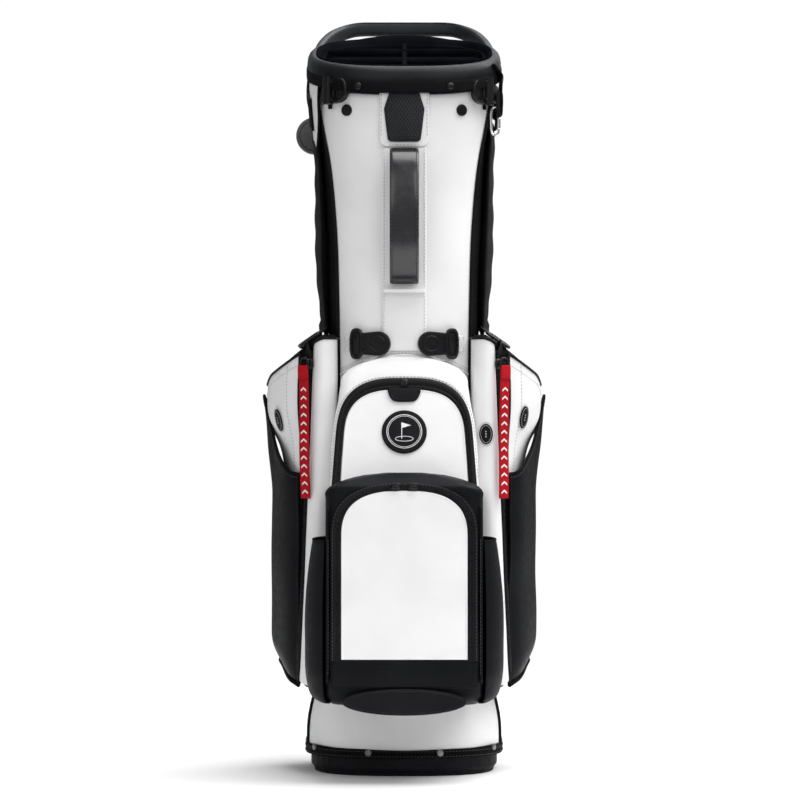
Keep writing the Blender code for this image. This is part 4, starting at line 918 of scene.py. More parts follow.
def make_dividers():
    """The padded bars in the mouth and the fabric walls that hang from the divider."""
    bars = Heap()
    reach = 0.0935
    for y in (-0.033, 0.033):
        z = lip(y) - 0.0062
        bars.solid(bar(Vector((-reach, y, z)), Vector((reach, y, z)), 0.0034, 0.0046))
    for low, high in ((-0.090, -0.0375), (-0.0285, 0.0285), (0.0375, 0.090)):
        start = Vector((0, low, lip(low) - 0.0066))
        end = Vector((0, high, lip(high) - 0.0066))
        bars.solid(bar(start, end, 0.0034, 0.0044))
    padding = bars.piece("divider_padding", "lining")

    walls = (("cross_wall_front", -0.033), ("cross_wall_rear", 0.033))
    for k, (name, y) in enumerate(walls):
        rows = []
        for r in range(25):
            z = mix(0.040, lip(y) - 0.0330, r / 24)
            rows.append([
                Vector((mix(-0.083, 0.083, c / 20), y + wobble(Vector((c * 0.008, z, k)), 0.06, 0.0010), z))
                for c in range(21)])
        heap = Heap()
        heap.grid(rows)
        obj = heap.piece(name, "lining", replaces=["divider_walls"] if k == 0 else (), thick=0.0010)
        declare_sheet(obj, rows)
    rows = []
    for r in range(25):
        row = []
        for c in range(21):
            y = mix(-0.080, 0.080, c / 20)
            z = mix(0.040, lip(y) - 0.0330, r / 24)
            row.append(Vector((wobble(Vector((c * 0.008, z, 9)), 0.06, 0.0010), y, z)))
        rows.append(row)
    heap = Heap()
    heap.grid(rows)
    declare_sheet(heap.piece("middle_wall", "lining", thick=0.0010), rows)


# ---- base --------------------------------------------------------------------------------
def make_hem():
    """The band that covers the lower edge of the panels."""
    heap = Heap()
    shape = ((0.0006, 0.0216), (0.0030, 0.0218), (0.0036, 0.0240), (0.0036, 0.0300), (0.0028, 0.0318),
             (0.0006, 0.0328))
    rings = []
    for k in range(132):
        angle = 2 * math.pi * k / 132
        wave = 0.0012 * abs(math.cos(angle)) + 0.0003 * math.sin(9 * angle)
        wave -= 0.0014 * max(0.0, -math.cos(2 * angle))
        rings.append([body_point(angle, PANEL_LOW, off).xy.to_3d() + UP * (z + (wave if z > 0.029 else 0))
                      for off, z in shape])
    heap.solid(rings, closed=True)
    heap.piece("base_hem_band", "black_nylon", replaces="base_hem_band", sharp=60)
    rivets, threads = Heap(), Heap()
    for angle in [-math.pi / 2 + side * turn for side in (-1, 1) for turn in (0.27, 1.05, 1.72, 2.44)]:
        at = body_point(angle, PANEL_LOW, 0.0036)
        at.z = 0.0315 if abs(angle + math.pi / 2) > 0.5 else 0.0282
        stud(rivets, at, body_normal(at), 0.0041, 0.0018, rim=0.75)
    rivets.piece("hem_rivets", "gunmetal", sharp=45)
    for z in (0.0240, 0.0300):
        ring = [body_point(2 * math.pi * k / 160, PANEL_LOW, 0.0037).xy.to_3d() + UP * z for k in range(161)]
        sew(threads, ring, body_normal)
    threads.piece("hem_stitching", "black_thread")


# ---- spine, patch and carry handle -------------------------------------------------------
def front_rows(half_width, low, high, offset, rows=24, columns=16):
    surface = []
    for r in range(rows + 1):
        z = mix(low, high, r / rows)
        edge = angle_at(half_width(z), z)
        surface.append([body_point(mix(-math.pi - edge, edge, c / columns), z, offset)
                        for c in range(columns + 1)])
    return surface


def corner_width(half, low, radius):
    """Half width of a patch whose two low corners are round."""
    def width(z):
        rise = min(radius, max(0.0, z - low))
        return half - radius + math.sqrt(max(0.0, radius ** 2 - (radius - rise) ** 2))
    return width


def make_spine():
    """The spine strip, the handle patch, its badge and the carry handle."""
    heap = Heap()
    heap.grid(front_rows(lambda z: 0.0262, 0.503, 0.7440, 0.0022, 48))
    heap.piece("spine_panel", "white_leatherette", replaces="spine_panel", thick=0.0018, soften=1,
               outward=from_axis)
    width = corner_width(0.0292, 0.7446, 0.010)
    heap = Heap()
    heap.grid(front_rows(width, 0.7447, 0.8085, 0.0032, 28))
    heap.piece("handle_patch", "white_leatherette", replaces="handle_patch", thick=0.0026, soften=1,
               outward=from_axis)
    threads = Heap()
    for side in (-1, 1):
        row = [mirrored(body_point(angle_at(0.0236, z), z, 0.0024), side)
               for z in np.linspace(0.506, 0.744, 60)]
        sew(threads, row, FRONT)
        row = [mirrored(body_point(angle_at(0.0268, z), z, 0.0034), side)
               for z in np.linspace(0.757, 0.807, 20)]
        sew(threads, row, FRONT)
    row = [body_point(angle_at(x, 0.7470), 0.7470, 0.0034) for x in np.linspace(0.0005, 0.019, 12)]
    sew(threads, [mirrored(p, -1) for p in reversed(row)] + row, FRONT)
    threads.piece("spine_stitching", "white_thread")

    heights = (0.7505, 0.7512, 0.7535, 0.7570, 0.7890, 0.8090)
    halves = (0.0160, 0.0180, 0.0192, 0.0197, 0.0235, 0.0172)
    rows = front_rows(lambda z: float(np.interp(z, heights, halves)), 0.7505, 0.8090, 0.0064, 30, 20)
    for r, row in enumerate(rows):
        for c, point in enumerate(row):
            edge = min(r, 30 - r, c * 1.3, (20 - c) * 1.3) / 3
            row[c] = point + body_normal(point) * (-0.0014 * max(0.0, 1 - edge) ** 2)
    heap = Heap()
    heap.grid(rows)
    heap.piece("handle_badge", "hatched_rubber", thick=0.0030, outward=from_axis)

    low, high, bow = 0.5765, 0.7490, 0.0290
    path = []
    for k in range(49):
        share = k / 48
        z = mix(low + 0.0085, high - 0.0085, share)
        rise = math.sin(math.pi * share) ** 0.6 if 0 < share < 1 else 0.0
        path.append(Vector((0, -profile(BODY_HALF_DEPTH, z) - 0.0062 - bow * rise, z)))
    strap = sweep(path, rounded(0.0172, 0.0031, 5.0, 28), up=FRONT)
    Heap().solid(strap).piece("carry_handle", "glossy_strap", replaces="carry_handle", sharp=60)
    threads = Heap()
    for side in (-1, 1):
        edge = [p + Vector((side * 0.0145, 0, 0)) for p in path]
        lifted = []
        for i, p in enumerate(edge):
            along = (edge[min(i + 1, 48)] - edge[max(i - 1, 0)]).normalized()
            out = along.cross(Vector((1, 0, 0)))
            lifted.append(p + (out if out.y < 0 else -out) * 0.0031)
        sew(threads, lifted, FRONT)
    threads.piece("carry_handle_stitching", "black_thread")
    heap = Heap()
    loop = front_rows(lambda z: 0.0235, 0.5722, 0.5762, 0.0120, 6)
    heap.grid(loop)
    heap.piece("handle_anchor", "white_leatherette", thick=0.0095, outward=from_axis)


# ---- clips -------------------------------------------------------------------------------
LOWER_CLIP = Vector((0.0545, 0.0, 0.5120))
CLIP_LEAN = math.radians(16)


def make_lower_clip(side, name):
    """A buckle ring sewn to the front panel, with the clip tab that swings in it."""
    hinge = Vector((side * LOWER_CLIP.x, front_y(LOWER_CLIP.x, LOWER_CLIP.z, 0.0068), LOWER_CLIP.z))
    outward = Vector((side * math.cos(2 * CLIP_LEAN), math.sin(2 * CLIP_LEAN), 0))
    rear = Vector((-side * outward.y, side * outward.x, 0))
    ring = Heap()
    base = hinge + outward * 0.0026 + rear * 0.0020
    facing = Matrix((
        (outward.x, 0, -rear.x, base.x), (outward.y, 0, -rear.y, base.y), (0, 1, 0, base.z), (0, 0, 0, 1)))
    shape = [Vector((*superellipse(2 * math.pi * k / 48, 0.0088, 0.0182, power=2.9),)) for k in range(48)]
    ring.solid(plate_rings(shape, 0.0022, on_frame(facing), edge=0.0008))
    rim_wire(ring, inset(shape, 0.0014), facing, 0.0026, 0.0018)
    ring.piece(f"clip_ring_{name}", "black_plastic", replaces=f"clip_ring_{name}")
    web = Heap()
    rows = []
    for k in range(9):
        z = mix(-0.0100, 0.0100, k / 8)
        row = [hinge + outward * 0.0100 + rear * 0.0032]
        row += [hinge + outward * u + rear * r
                for u, r in ((0.0120, 0.0024), (0.0150, 0.0018), (0.0225, 0.0040))]
        rows.append([p + UP * z for p in row])
    web.grid(rows)
    web.piece(f"clip_web_{name}", "white_leatherette", thick=0.0016, outward=lambda p: -rear, soften=1)
    threads = Heap()
    box = [(0.0130, -0.0085), (0.0215, -0.0085), (0.0215, 0.0085), (0.0130, 0.0085)]
    at = [hinge + outward * u + rear * (0.0002 + (u - 0.0130) * 0.31) + UP * v for u, v in box]
    for a, b in ((0, 1), (1, 2), (2, 3), (3, 0), (0, 2), (1, 3)):
        sew(threads, [at[a], at[b]], -rear, pitch=0.0021, length=0.0016, radius=0.0004)
    threads.piece(f"clip_stitching_{name}", "white_thread")

    outline = []
    length, half = 0.0395, 0.0146
    for k in range(33):
        angle = math.pi / 2 - math.pi * k / 32
        outline.append(Vector((length - half + half * math.cos(angle), half * math.sin(angle))))
    outline += [Vector((mix(0.0225, -0.001, k / 6), -mix(0.0146, 0.0122, k / 6))) for k in range(1, 7)]
    outline += [Vector((mix(-0.001, 0.0225, k / 6), mix(0.0122, 0.0146, k / 6))) for k in range(6)]
    inward = Vector((-side * math.cos(CLIP_LEAN), -math.sin(CLIP_LEAN), 0))
    out = Vector((side * math.sin(CLIP_LEAN), -math.cos(CLIP_LEAN), 0))
    back = hinge - out * 0.0024
    turn = Matrix((
        (inward.x, 0, out.x, back.x), (inward.y, 0, out.y, back.y), (0, 1, 0, back.z), (0, 0, 0, 1)))
    body = f"{name}_clip_tab"
    tab = Heap()
    tab.solid(plate_rings(outline, 0.0046, on_frame(turn), edge=0.0012))
    tab.solid(sweep([hinge + UP * z for z in np.linspace(-0.0122, 0.0122, 9)], circle(0.0036, 16)))
    dish = turn @ Matrix.Translation((length - half - 0.0010, 0, 0.0046))
    rim = [dish @ Vector((x, y, 0)) for x, y in circle(0.0088, 40)]
    tab.solid(sweep(rim, circle(0.0010, 8), closed=True), closed=True)
    for u in (0.0062, 0.0082, 0.0102):
        line = [turn @ Vector((u, v, 0.0047)) for v in np.linspace(-0.0095, 0.0095, 5)]
        tab.solid(sweep(line, circle(0.0004, 6)))
    tab.piece(f"clip_tab_{name}", "black_plastic", body=body, replaces=f"clip_tab_{name}", sharp=50)


def loop_path(centre, across, up, half_width, half_height, count=40, power=3.0):
    across, up = across.normalized(), up.normalized()
    found = []
    for k in range(count):
        u, v = superellipse(2 * math.pi * k / count, half_width, half_height, power=power)
        found.append(centre + across * u + up * v)
    return found


def make_upper_clip(side, name):
    """The D-shaped clip on the collar's corner, with the strap hooked into it."""
    z = 0.8130
    angle = angle_at(0.0800 if side < 0 else 0.0895, z)
    hinge = mirrored(body_point(angle, z, 0.0062), side)
    out = body_normal(hinge)
    inward = out.cross(UP) * side
    if inward.x * side > 0:
        inward = -inward
    turn = Matrix((
        (inward.x, 0, out.x, hinge.x), (inward.y, 0, out.y, hinge.y), (0, 1, 0, hinge.z), (0, 0, 0, 1)))
    lobe = [Vector((0.0, mix(0.0150, -0.0150, k / 10))) for k in range(1, 10)]
    for k in range(41):
        u, v = superellipse(-math.pi / 2 + math.pi * k / 40, 0.0225, 0.0160, power=2.5)
        lobe.append(Vector((u, v)))
    heap = Heap()
    heap.solid(plate_rings(lobe, 0.0040, on_frame(turn @ Matrix.Translation((0, 0, -0.0035))), edge=0.0014))
    rim_wire(heap, inset(lobe, 0.0016), turn, 0.0012, 0.0021)
    rim_wire(heap, inset(lobe, 0.0062), turn, 0.0006, 0.0008, 8)
    bar = [turn @ Vector((-0.0062, v, 0.0022)) for v in np.linspace(-0.0165, 0.0165, 13)]
    heap.solid(sweep(bar, rounded(0.0058, 0.0060, 3.2, 20)), dome=0.0008)
    for v in (-0.0105, 0.0105):
        pin = [turn @ Vector((u, v, 0.0024)) for u in np.linspace(-0.0120, 0.0030, 7)]
        heap.solid(sweep(pin, rounded(0.0032, 0.0034, 3.0, 14)))
    stand = 0.0042 if side < 0 else 0.0090
    path = [mirrored(body_point(angle + mix(0.16, 0.58, k / 10), z - 0.008 * k / 10, stand), side)
            for k in range(11)]
    heap.solid(sweep(path, rounded(0.0018, 0.0112, 4.0, 20), up=UP))
    heap.piece(f"strap_ring_{name}", "black_plastic", replaces=f"strap_ring_{name}", sharp=50)
    anchor = Heap()
    rows = []
    for k in range(9):
        a = angle + mix(0.10, 0.17, k / 8)
        lift = 0.0026 + 0.0008 * math.sin(math.pi * k / 8)
        rows.append([mirrored(body_point(a, z + v, lift), side) for v in np.linspace(-0.0215, -0.0140, 7)])
    anchor.grid(rows)
    anchor.piece(f"ring_anchor_{name}", "black_leatherette", thick=0.0020, outward=from_axis)
    if side > 0:
        twist = Heap()
        path = smooth_through([
            mirrored(body_point(angle + turn, height, stand), side)
            for turn, height, stand in ((0.16, 0.846, 0.0060), (0.30, 0.832, 0.0125),
                                        (0.20, 0.818, 0.0175), (0.30, 0.803, 0.0150))
        ], 30)
        twist.solid(sweep(path, rounded(0.0012, 0.0052, 4.0, 14)))
        twist.piece("ring_web_right", "black_webbing")


# ---- front pockets -----------------------------------------------------------------------
def pocket_ring(half_width, front, z, corner, bulge=0.0):
    """Plan outline of a front pocket: round front corners, a neck behind, and the tube's curve."""
    corner = min(corner, half_width * 0.9)
    shoulder = min(SHOULDER_Y, -0.0005 + front_y(min(half_width, NECK), z, 0.0016))
    neck = min(half_width - 0.0005, NECK)
    left = half_width - corner
    ring = [Vector((-half_width, mix(shoulder, front + corner, k / 4), z)) for k in range(4)]
    reach = min(front + corner, shoulder - 0.0005) - front
    for k in range(13):
        turn = math.pi / 2 * k / 12
        ring.append(Vector((-left - corner * math.cos(turn), front + reach * (1 - math.sin(turn)), z)))
    for k in range(1, 16):
        x = mix(-left, left, k / 16)
        ring.append(Vector((x, front - bulge * (1 - (x / left) ** 2), z)))
    for k in range(13):
        turn = math.pi / 2 * (1 - k / 12)
        ring.append(Vector((left + corner * math.cos(turn), front + reach * (1 - math.sin(turn)), z)))
    ring += [Vector((half_width, mix(front + corner, shoulder, k / 4), z)) for k in range(1, 5)]
    first = angle_at(neck, z)
    rear = [body_point(mix(first, -math.pi - first, k / 16), z, 0.0018) for k in range(17)]
    return ring + rear


def between(rows, count):
    """More rows on smooth curves through a few rows of numbers, the first of which is the height."""
    heights = np.linspace(rows[0][0], rows[-1][0], count)
    found = []
    for z in heights:
        values = (profile([(row[0], row[k]) for row in rows], z) for k in range(1, len(rows[0])))
        found.append([float(z), *values])
    return found


def tapered(outline):
    """The sloping face is narrower towards its top."""
    return [Vector((p.x * (1 - 0.83 * p.y), p.y)) for p in outline]


def fold_section(share):
    """Section of a fold that fades out towards both ends."""
    swell = math.sin(math.pi * mix(0.06, 0.94, share))
    return rounded(0.0022 * swell + 0.0002, 0.0016 * swell + 0.0002, 2.2, 12)


def make_valuables_pocket():
    """The sloping upper pocket with its door, zip, seam and emblem."""
    rows = (
        (0.3345, 0.0870, -0.1500, 0.018), (0.3550, 0.0870, -0.1500, 0.018),
        (0.4000, 0.0850, -0.1355, 0.018), (0.4250, 0.0818, -0.1274, 0.016),
        (0.4420, 0.0783, -0.1218, 0.014), (0.4600, 0.0757, -0.1160, 0.013),
        (0.4750, 0.0720, -0.1100, 0.011), (0.4860, 0.0575, -0.1035, 0.008),
        (0.4935, 0.0350, -0.0978, 0.004), (0.4970, 0.0160, -0.0958, 0.002),
    )
    rings = [pocket_ring(w, f, z, c) for z, w, f, c in between(rows, 44)]
    Heap().solid(rings).piece("valuables_pocket", "white_leatherette", replaces="valuables_pocket", sharp=70)
    seam, threads = [], Heap()
    for k in range(41):
        x = mix(-0.0760, 0.0760, k / 40)
        z = 0.4985 - 0.0225 * (abs(x) / 0.0760) ** 1.8
        seam.append(Vector((x, front_y(x, z, 0.0012), z)))
    tube("pocket_top_seam", seam, 0.0011, "white_leatherette")
    for rise in (0.0032, 0.0062):
        sew(threads, [p + Vector((0, -0.0004, rise)) for p in seam], body_normal, radius=0.00045)
    threads.piece("pocket_seam_stitching", "white_thread")
    folds = Heap()
    for side in (-1, 1):
        for rise, low, high in ((0.0030, 0.022, 0.050), (0.0062, 0.014, 0.041)):
            path = []
            for k in range(15):
                x = mix(low, high, k / 14)
                z = 0.4985 - 0.0225 * (x / 0.0760) ** 1.8 + rise + 0.0012 * math.sin(k * 0.5)
                path.append(Vector((side * x, front_y(x, z, 0.0008), z)))
            folds.solid(sweep(path, fold_section, up=UP))
    folds.piece("pocket_folds", "white_leatherette")

    along = 1 / math.cos(VALUABLES_LEAN)
    door_top, zip_top, spring = 0.1020 * along, 0.1160 * along, 0.0450

    def dimples(x, y):
        return 0.0006 * noise.noise(Vector((x * 18, y * 18, 4.0))) - 0.0003

    door = tapered(closed_arch(0.0740, -0.0100, spring, door_top, 3.0))
    plate("valuables_door", door, 0.0022, valuables_frame(0.0004), "white_leatherette", crown=0.0012,
          waves=dimples, replaces="valuables_door")
    inner = tapered(arch(0.0746, -0.0100, spring, door_top + 0.0007, 3.0))
    outer = tapered(arch(0.0842, -0.0100, spring, zip_top, 3.0))
    heights = ((0, 0.0012), (0.04, 0.0022), (0.22, 0.0026), (0.27, 0.0020), (0.32, 0.0020), (0.37, 0.0026),
               (0.55, 0.0032), (0.80, 0.0030), (0.96, 0.0022), (1.0, 0.0012))
    band = Heap()
    strip(band, inner, outer, heights, valuables_frame(0.0004))
    band.piece("valuables_zip", "zip_black", replaces="valuables_zip", sharp=60)
    teeth = Heap()
    line = [mix(a, b, 0.295) for a, b in zip(inner, outer)]
    sew(teeth, flat_path(line, valuables_frame(0.0026)), valuables_frame(0).to_3x3() @ UP,
        pitch=0.0018, length=0.0014, radius=0.0005, turn=math.pi / 2)
    teeth.piece("valuables_zip_teeth", "black_plastic")
    threads = Heap()
    edge = inset(outer, -0.0020)
    sew(threads, flat_path(edge[2:-2], valuables_frame(0.0003)), valuables_frame(0).to_3x3() @ UP)
    threads.piece("valuables_stitching", "white_thread")
    make_emblem()
    make_valuables_slider()


def make_emblem():
    """A round rubber patch with a plain ring and a little flag on a green."""
    centre = valuables_frame(0.0028) @ Matrix.Translation((0, 0.0542, 0))
    disc = [Vector(p) for p in circle(0.0264, 72)]
    plate("round_emblem", disc, 0.0034, centre, "black_rubber", crown=0.0004, replaces="round_emblem")
    mark = Heap()
    top = centre @ Matrix.Translation((0, 0, 0.0037))
    for radius, thick in ((0.0205, 0.00045), (0.0188, 0.00028)):
        ring = [top @ Vector((*p, 0)) for p in circle(radius, 72)]
        mark.solid(sweep(ring, circle(thick, 6), closed=True), closed=True)
    pole = [top @ Vector((-0.0030, y, 0)) for y in np.linspace(-0.0090, 0.0110, 9)]
    mark.solid(sweep(pole, circle(0.0005, 6)))
    flag = [Vector((-0.0030, 0.0110)), Vector((0.0080, 0.0075)), Vector((-0.0030, 0.0040))]
    shape = [mix(flag[k], flag[(k + 1) % 3], t / 6) for k in range(3) for t in range(6)]
    mark.solid(plate_rings(shape, 0.0004, on_frame(top), edge=0.0001))
    green = [top @ Vector((0.0105 * math.cos(a), -0.0090 + 0.0030 * math.sin(a), 0))
             for a in np.linspace(0, 2 * math.pi, 48, endpoint=False)]
    mark.solid(sweep(green, circle(0.0004, 6), closed=True), closed=True)
    mark.piece("emblem_mark", "white_print", sharp=50)


def slider_rings(centre, up, out, half_length, half_width, height):
    """A zip slider's body: a rounded lozenge that lies along up."""
    across = up.cross(out)
    rings = []
    for k in range(13):
        t = mix(-1, 1, k / 12)
        swell = (1 - abs(t) ** 3.0) ** 0.5
        half = half_width * (0.35 + 0.65 * swell)
        tall = height * (0.25 + 0.75 * swell)
        rings.append([centre + up * (t * half_length) + across * u + out * (tall / 2 + v)
                      for u, v in rounded(half, tall / 2, 3.2, 16)])
    return rings


def bridge(heap, centre, up, out, half_length, height, radius=0.0008):
    """Adds the little bail on top of a slider that holds its pull."""
    path = [centre + up * (half_length * math.cos(a)) + out * (height * math.sin(a))
            for a in np.linspace(0.0, math.pi, 15)]
    heap.solid(sweep(path, circle(radius, 8)))
    return heap


def make_valuables_slider():
    """The slider of the upper pocket and its pull tab."""
    turn = valuables_frame(0.0030)
    up, out = turn.to_3x3() @ Vector((0, 1, 0)), turn.to_3x3() @ UP
    top = 0.1095 / math.cos(VALUABLES_LEAN)
    heap = Heap()
    at = turn @ Vector((0, top, 0))
    heap.solid(slider_rings(at, up, out, 0.0052, 0.0045, 0.0030))
    bridge(heap, at + out * 0.0024, up, out, 0.0036, 0.0016)
    heap.piece("valuables_zip_slider", "black_plastic", body="valuables_slider",
               replaces="valuables_zip_slider",
               sharp=60)
    half = [(0.0192, -0.0078), (0.0195, -0.0100), (0.0184, -0.0140), (0.0162, -0.0188), (0.0130, -0.0222),
            (0.0080, -0.0236), (0.0, -0.0238)]
    right = smooth_through([Vector((x, top + y)) for x, y in half], 25)
    outline = right + [Vector((-p.x, p.y)) for p in reversed(right[:-1])]
    outline += [Vector((mix(-0.0192, 0.0192, k / 12), top - 0.0070)) for k in range(1, 12)]
    plate("valuables_pull_tab", outline, 0.0026, turn @ Matrix.Translation((0, 0, 0.0006)), "black_rubber",
          crown=0.0005, edge=0.0009, body="valuables_pull", replaces="valuables_pull_tab")
    bead = Heap()
    line = flat_path(inset(outline, 0.0022), turn, 0.0034)
    bead.solid(sweep(line, circle(0.0003, 6), closed=True), closed=True)
    bead.piece("pull_tab_bead", "black_plastic", body="valuables_pull")


def ledge_ring(half_width, front, z, corner):
    """The ball pocket's plan outline above the ledge, in front of the valuables pocket."""
    ring = pocket_ring(half_width, front, z, corner)
    rear = VALUABLES_BASE.y - 0.0010
    front_part = ring[:49]
    return [Vector((p.x, min(p.y, rear), z)) for p in front_part] + [
        Vector((mix(front_part[-1].x, front_part[0].x, k / 17), rear, z)) for k in range(1, 17)]


def make_ball_pocket():
    """The large lower pocket with its door, zip, sliders and skid."""
    low_rows = (
        (0.0905, 0.0850, -0.1700, 0.026), (0.0960, 0.0900, -0.1860, 0.022),
        (0.1080, 0.0912, -0.1940, 0.018), (0.1250, 0.0915, BALL_FRONT, 0.016),
        (0.2000, 0.0915, BALL_FRONT, 0.016), (0.2800, 0.0915, BALL_FRONT, 0.016),
        (0.3260, 0.0912, BALL_FRONT, 0.016), (LEDGE - 0.0002, 0.0912, BALL_FRONT, 0.016),
    )
    high_rows = (
        (LEDGE - 0.0010, 0.0912, BALL_FRONT, 0.016), (0.3385, 0.0915, BALL_FRONT, 0.017),
        (0.3450, 0.0860, -0.1985, 0.018), (0.3495, 0.0765, -0.1940, 0.018),
        (0.3550, 0.0600, -0.1875, 0.016), (0.3590, 0.0380, -0.1810, 0.012),
        (0.3606, 0.0200, -0.1775, 0.008),
    )
    heap = Heap()
    heap.solid([pocket_ring(w, f, z, c) for z, w, f, c in between(low_rows, 40)])
    heap.solid([ledge_ring(w, f, z, c) for z, w, f, c in between(high_rows, 12)])
    heap.piece("ball_pocket", "black_leatherette", replaces="ball_pocket", sharp=70)

    def sag(x, y):
        return 0.0009 * noise.noise(Vector((x * 14, y * 14, 8.0))) - 0.0004

    door = closed_arch(0.0730, 0.1455, 0.2850, 0.3405, power=2.7)
    plate("ball_pocket_door", door, 0.0026, ball_frame(0.0004), "white_leatherette", crown=0.0018,
          waves=sag, replaces="ball_pocket_door")
    inner = arch(0.0736, 0.1435, 0.2850, 0.3412, power=2.7)
    outer = arch(0.0850, 0.1435, 0.2850, 0.3490, power=2.7)
    heights = ((0, 0.0010), (0.04, 0.0020), (0.30, 0.0022), (0.35, 0.0014), (0.40, 0.0014), (0.45, 0.0022),
               (0.70, 0.0026), (0.95, 0.0022), (1.0, 0.0008))
    band = Heap()
    strip(band, inner, outer, heights, ball_frame(0.0003))
    band.piece("ball_pocket_zip", "zip_black", replaces="ball_pocket_zip", sharp=60)
    teeth = Heap()
    line = [mix(a, b, 0.375) for a, b in zip(inner, outer)]
    sew(teeth, flat_path(line, ball_frame(0.0022)), FRONT, pitch=0.0019, length=0.0015, radius=0.00055,
        turn=math.pi / 2)
    teeth.piece("ball_zip_teeth", "black_plastic")
    threads = Heap()
    sew(threads, flat_path([mix(a, b, 0.84) for a, b in zip(inner, outer)], ball_frame(0.0028)), FRONT)
    for x in (-0.0880, 0.0880):
        sew(threads, [Vector((x, BALL_FRONT - 0.0001, z)) for z in np.linspace(0.128, 0.285, 30)], FRONT)
    threads.piece("ball_pocket_stitching", "black_thread")
    lip_rows = []
    for r, (z, stand) in enumerate(((0.1120, 0.0006), (0.1150, 0.0022), (0.1300, 0.0026), (0.1395, 0.0030),
                                    (0.1412, 0.0024), (0.1414, 0.0006))):
        wave = 0.0006 if r > 2 else 0.0
        lip_rows.append([Vector((x, BALL_FRONT - stand, z + wave * math.cos(x * 60)))
                         for x in np.linspace(-0.0845, 0.0845, 50)])
    heap = Heap()
    heap.grid(lip_rows)
    heap.piece("ball_pocket_lip", "black_leatherette", thick=0.0006, sharp=50, outward=lambda p: FRONT)

    lens = [Vector((*superellipse(2 * math.pi * k / 80, 0.0720, 0.0155, power=2.0),)) for k in range(80)]
    lens = [p + Vector((0, 0.0965)) for p in lens]
    plate("pocket_skid", lens, 0.0040, ball_frame(0.0004), "black_rubber", crown=0.0006, edge=0.0022,
          replaces="pocket_skid")
    bead = Heap()
    rim_wire(bead, inset(lens, 0.0026), ball_frame(0.0042), 0.0, 0.0004, 6)
    bead.piece("skid_bead", "black_plastic")
    pipes = Heap()
    for side in (-1, 1):
        corner = [Vector((side * (BALL_HALF_WIDTH - 0.0028), BALL_FRONT + 0.0028, z))
                  for z in np.linspace(0.118, 0.322, 40)]
        pipes.solid(sweep(corner, circle(0.0018, 10)))
    pipes.piece("ball_pocket_piping", "black_leatherette")
    for side, name in SIDES:
        body = f"ball_{name}_slider"
        at = Vector((side * 0.0100, BALL_FRONT - 0.0031, 0.3458))
        across = Vector((side, 0, 0))
        heap = Heap()
        heap.solid(slider_rings(at, across, FRONT, 0.0060, 0.0040, 0.0040))
        bridge(heap, at + FRONT * 0.0030, across, FRONT, 0.0040, 0.0016)
        heap.piece(f"ball_zip_slider_{name}", "black_plastic", body=body, sharp=60,
                   replaces=f"ball_zip_slider_{name}")
        make_gusset(side, name)


def sleeve_rows(path, outward, depth_of, low, top_of, wall, levels=18):
    """Rows, from the floor up, of an open pocket's outer skin along a path."""
    last = len(path) - 1
    rows = []
    for r in range(levels + 1):
        row = []
        for k, point in enumerate(path):
            height = r / levels
            curl = min(1.0, height * 9 + 0.25) ** 0.5
            depth = depth_of(k / last) * curl + wall
            out = outward[k]
            z = mix(low(k / last), top_of(k / last), height)
            row.append(Vector((point.x + out.x * depth, point.y + out.y * depth, z)))
        rows.append(row)
    return rows


GUSSET_REACH = (
    (0.0925, 0.0985), (0.096, 0.1055), (0.106, 0.1115), (0.121, 0.1146), (0.16, 0.1160), (0.20, 0.1160),
    (0.25, 0.1120), (0.2835, 0.1072),
)


def make_gusset(side, name):
    """The small open sleeve on the side of the ball pocket."""
    count, levels = 25, 30
    rows = []
    for r in range(levels + 1):
        z = mix(0.0925, 0.2835, r / levels)
        row = []
        for k in range(count):
            s = k / (count - 1)
            swell = math.sin(math.pi * min(1.0, 0.03 + s)) ** 0.62 if s < 0.97 else 0.0
            reach = profile(GUSSET_REACH, z) - BALL_HALF_WIDTH
            x = BALL_HALF_WIDTH - 0.0030 + (reach + 0.0030) * max(0.0, swell)
            y = mix(mix(-0.1935, -0.1800, max(0.0, (0.125 - z) / 0.033)), -0.1100, s)
            row.append(Vector((side * x, y, z - 0.0020 * (1 - s) * (r == levels))))
        rows.append(row)
    heap = Heap()
    heap.grid(rows)
    heap.piece(f"gusset_sleeve_{name}", "black_leatherette", thick=0.0020, soften=1,
               outward=lambda p: Vector((side, 0, 0)))
    rim = [p + Vector((-side * 0.0010, 0, 0.0002)) for p in rows[-1]]
    tube(f"gusset_binding_{name}", rim, 0.0016, "black_nylon")
    floor = [[Vector((mix(side * 0.0860, p.x, t), p.y, p.z + 0.0008)) for p in rows[0]]
             for t in (0, 0.5, 0.98)]
    heap = Heap()
    heap.grid(floor)
    heap.piece(f"gusset_floor_{name}", "black_leatherette", thick=0.0016, outward=lambda p: -UP)


# ---- side pockets ------------------------------------------------------------------------
def side_column(z_share, k, outline, offset):
    """A point of the side pocket's skin, offset outwards from its plan line."""
    p = outline[k]
    ahead = outline[min(k + 1, len(outline) - 1)] - outline[max(k - 1, 0)]
    normal = Vector((ahead.y, -ahead.x)).normalized()
    z = mix(side_low(p.x), side_top(p.x), z_share)
    q = p + normal * offset
    return Vector((q.x, q.y, z))


def side_plan(share):
    """The plan line at a share of the pocket's height, from a table: it is asked for often."""
    key = round(share, 4)
    if key not in PLANS:
        PLANS[key] = side_outline(mix(POCKET_LOW, POCKET_TOP, share), SIDE_COUNT)
    return PLANS[key]


PLANS = {}
SIDE_COUNT = 67
FRONT_STRIP_END = 22  # columns of the side pocket's skin where the front strip ends
OUTER_START = 27  # and where the outer panel begins


